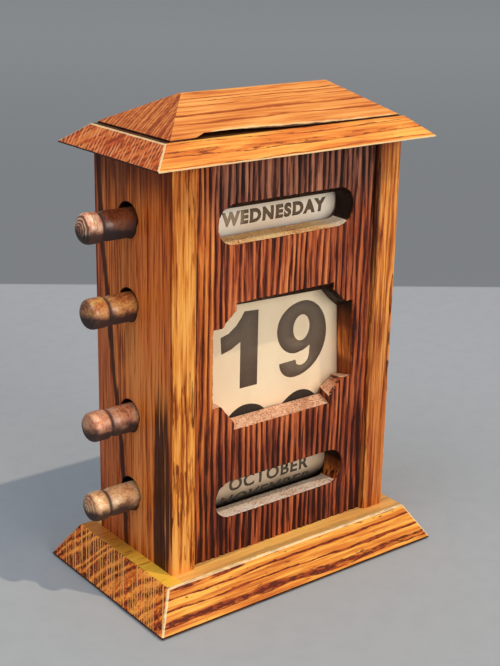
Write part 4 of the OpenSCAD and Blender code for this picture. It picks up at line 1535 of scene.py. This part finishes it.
# %% [markdown]
# ## Camera
#
# The camera stands to the left of the calendar and looks down on it. Its axes are written out as one
# matrix, because it is tilted by a degree about its own line of sight.

# %% Place the camera
VIEW_TURN = math.radians(-38.040)
VIEW_RISE = math.radians(18.962)
VIEW_TILT = math.radians(1.156)
VIEW_FROM = Vector((-331.86, -425.41, 291.18)) * MM
FOCAL_PIXELS = 1289.8
PICTURE_HEIGHT = 666
SENSOR = 36.0

back = Vector((math.sin(VIEW_TURN) * math.cos(VIEW_RISE), -math.cos(VIEW_TURN) * math.cos(VIEW_RISE),
               math.sin(VIEW_RISE)))
level = Vector((math.cos(VIEW_TURN), math.sin(VIEW_TURN), 0.0))
upright = back.cross(level)
right = level * math.cos(VIEW_TILT) + upright * math.sin(VIEW_TILT)
up = upright * math.cos(VIEW_TILT) - level * math.sin(VIEW_TILT)

lens = bpy.data.cameras.new("camera")
lens.sensor_width = SENSOR
lens.lens = FOCAL_PIXELS / PICTURE_HEIGHT * SENSOR
camera = bpy.data.objects.new("camera", lens)
bpy.context.scene.collection.objects.link(camera)
camera.matrix_world = Matrix.Translation(VIEW_FROM) @ Matrix((right, up, back)).transposed().to_4x4()
bpy.context.scene.camera = camera
print(f"lens {lens.lens:.1f} mm")

# %% [markdown]
# ## Floor and light
#
# The calendar stands on a wide pale sheet, which ends at a darker one behind it. One lamp in front and
# to the right is as small as the sun, so it throws a shadow with a readable edge. A broad one in front
# fills the face, one above on the left lights the bevels, and the world adds the plain light of a room.

# %% Floor
def floor_material():
    material, place, _ = new_material("paper_floor")
    behind = vector_math("DOT_PRODUCT", place, (0.578, 0.816, 0.0))
    mottle = add("ShaderNodeTexNoise", {"Vector": place, "Scale": 90.0, "Detail": 6.0, "Roughness": 0.7},
                 out="Fac")
    near = blend(smooth_step(behind, -0.25, 0.3), (177, 181, 184), (176, 180, 186))
    far = blend(smooth_step(behind, 0.42, 2.4), (132, 136, 142), (157, 163, 170))
    colour = blend(smooth_step(behind, 0.419, 0.423), near, far)
    colour = blend(smooth_step(mottle, 0.35, 0.75, 0.0, 0.1), colour, (130, 134, 142))
    return surface(material, colour, smooth_step(mottle, 0.2, 0.8, 0.8, 0.95), (mottle, 1.0, 0.1), 0.2)


shape = bmesh.new()
bmesh.ops.create_circle(shape, cap_ends=True, radius=8.0, segments=96)
floor = as_object(shape, "floor", [floor_material()])
if floor.data.polygons[0].normal.z < 0:
    floor.data.flip_normals()
print("floor ready")

# %% Lamps and room light
def hang(name, light, direction, distance, colour):
    """Hangs a lamp so far from the calendar's middle, in a direction, and aims it there."""
    light.color = colour
    away = Vector(direction).normalized()
    lamp = bpy.data.objects.new(name, light)
    lamp.matrix_world = (Matrix.Translation(Vector((0, 0, 0.1)) + away * distance)
                         @ away.to_track_quat("Z", "Y").to_matrix().to_4x4())
    bpy.context.scene.collection.objects.link(lamp)


def area_lamp(name, direction, distance, size, brightness, colour):
    """A round lamp that gives a white card facing it this brightness."""
    light = bpy.data.lights.new(name, "AREA")
    light.shape = "DISK"
    light.size = size
    light.energy = brightness * math.pi ** 2 * distance ** 2
    hang(name, light, direction, distance, colour)


def sun_lamp(name, direction, width, brightness, colour):
    light = bpy.data.lights.new(name, "SUN")
    light.angle = math.radians(width)
    light.energy = brightness * math.pi
    hang(name, light, direction, 0.0, colour)


sun_lamp("key", (0.29, -0.46, 1.0), 1.0, 0.37, (1.0, 0.83, 0.62))
area_lamp("fill", (0.05, -1.0, 0.3), 3.4, 2.2, 0.48, (1.0, 0.97, 0.93))
area_lamp("ceiling", (-0.6, -0.2, 1.0), 3.0, 2.2, 0.3, (0.9, 0.95, 1.0))

room = bpy.data.worlds.new("room")
room.use_nodes = True
air = room.node_tree.nodes["Background"].inputs
air["Color"].default_value = (0.8, 0.9, 1.0, 1.0)
air["Strength"].default_value = 0.35
bpy.context.scene.world = room

# %% Finish
bpy.context.scene.view_settings.view_transform = "Standard"
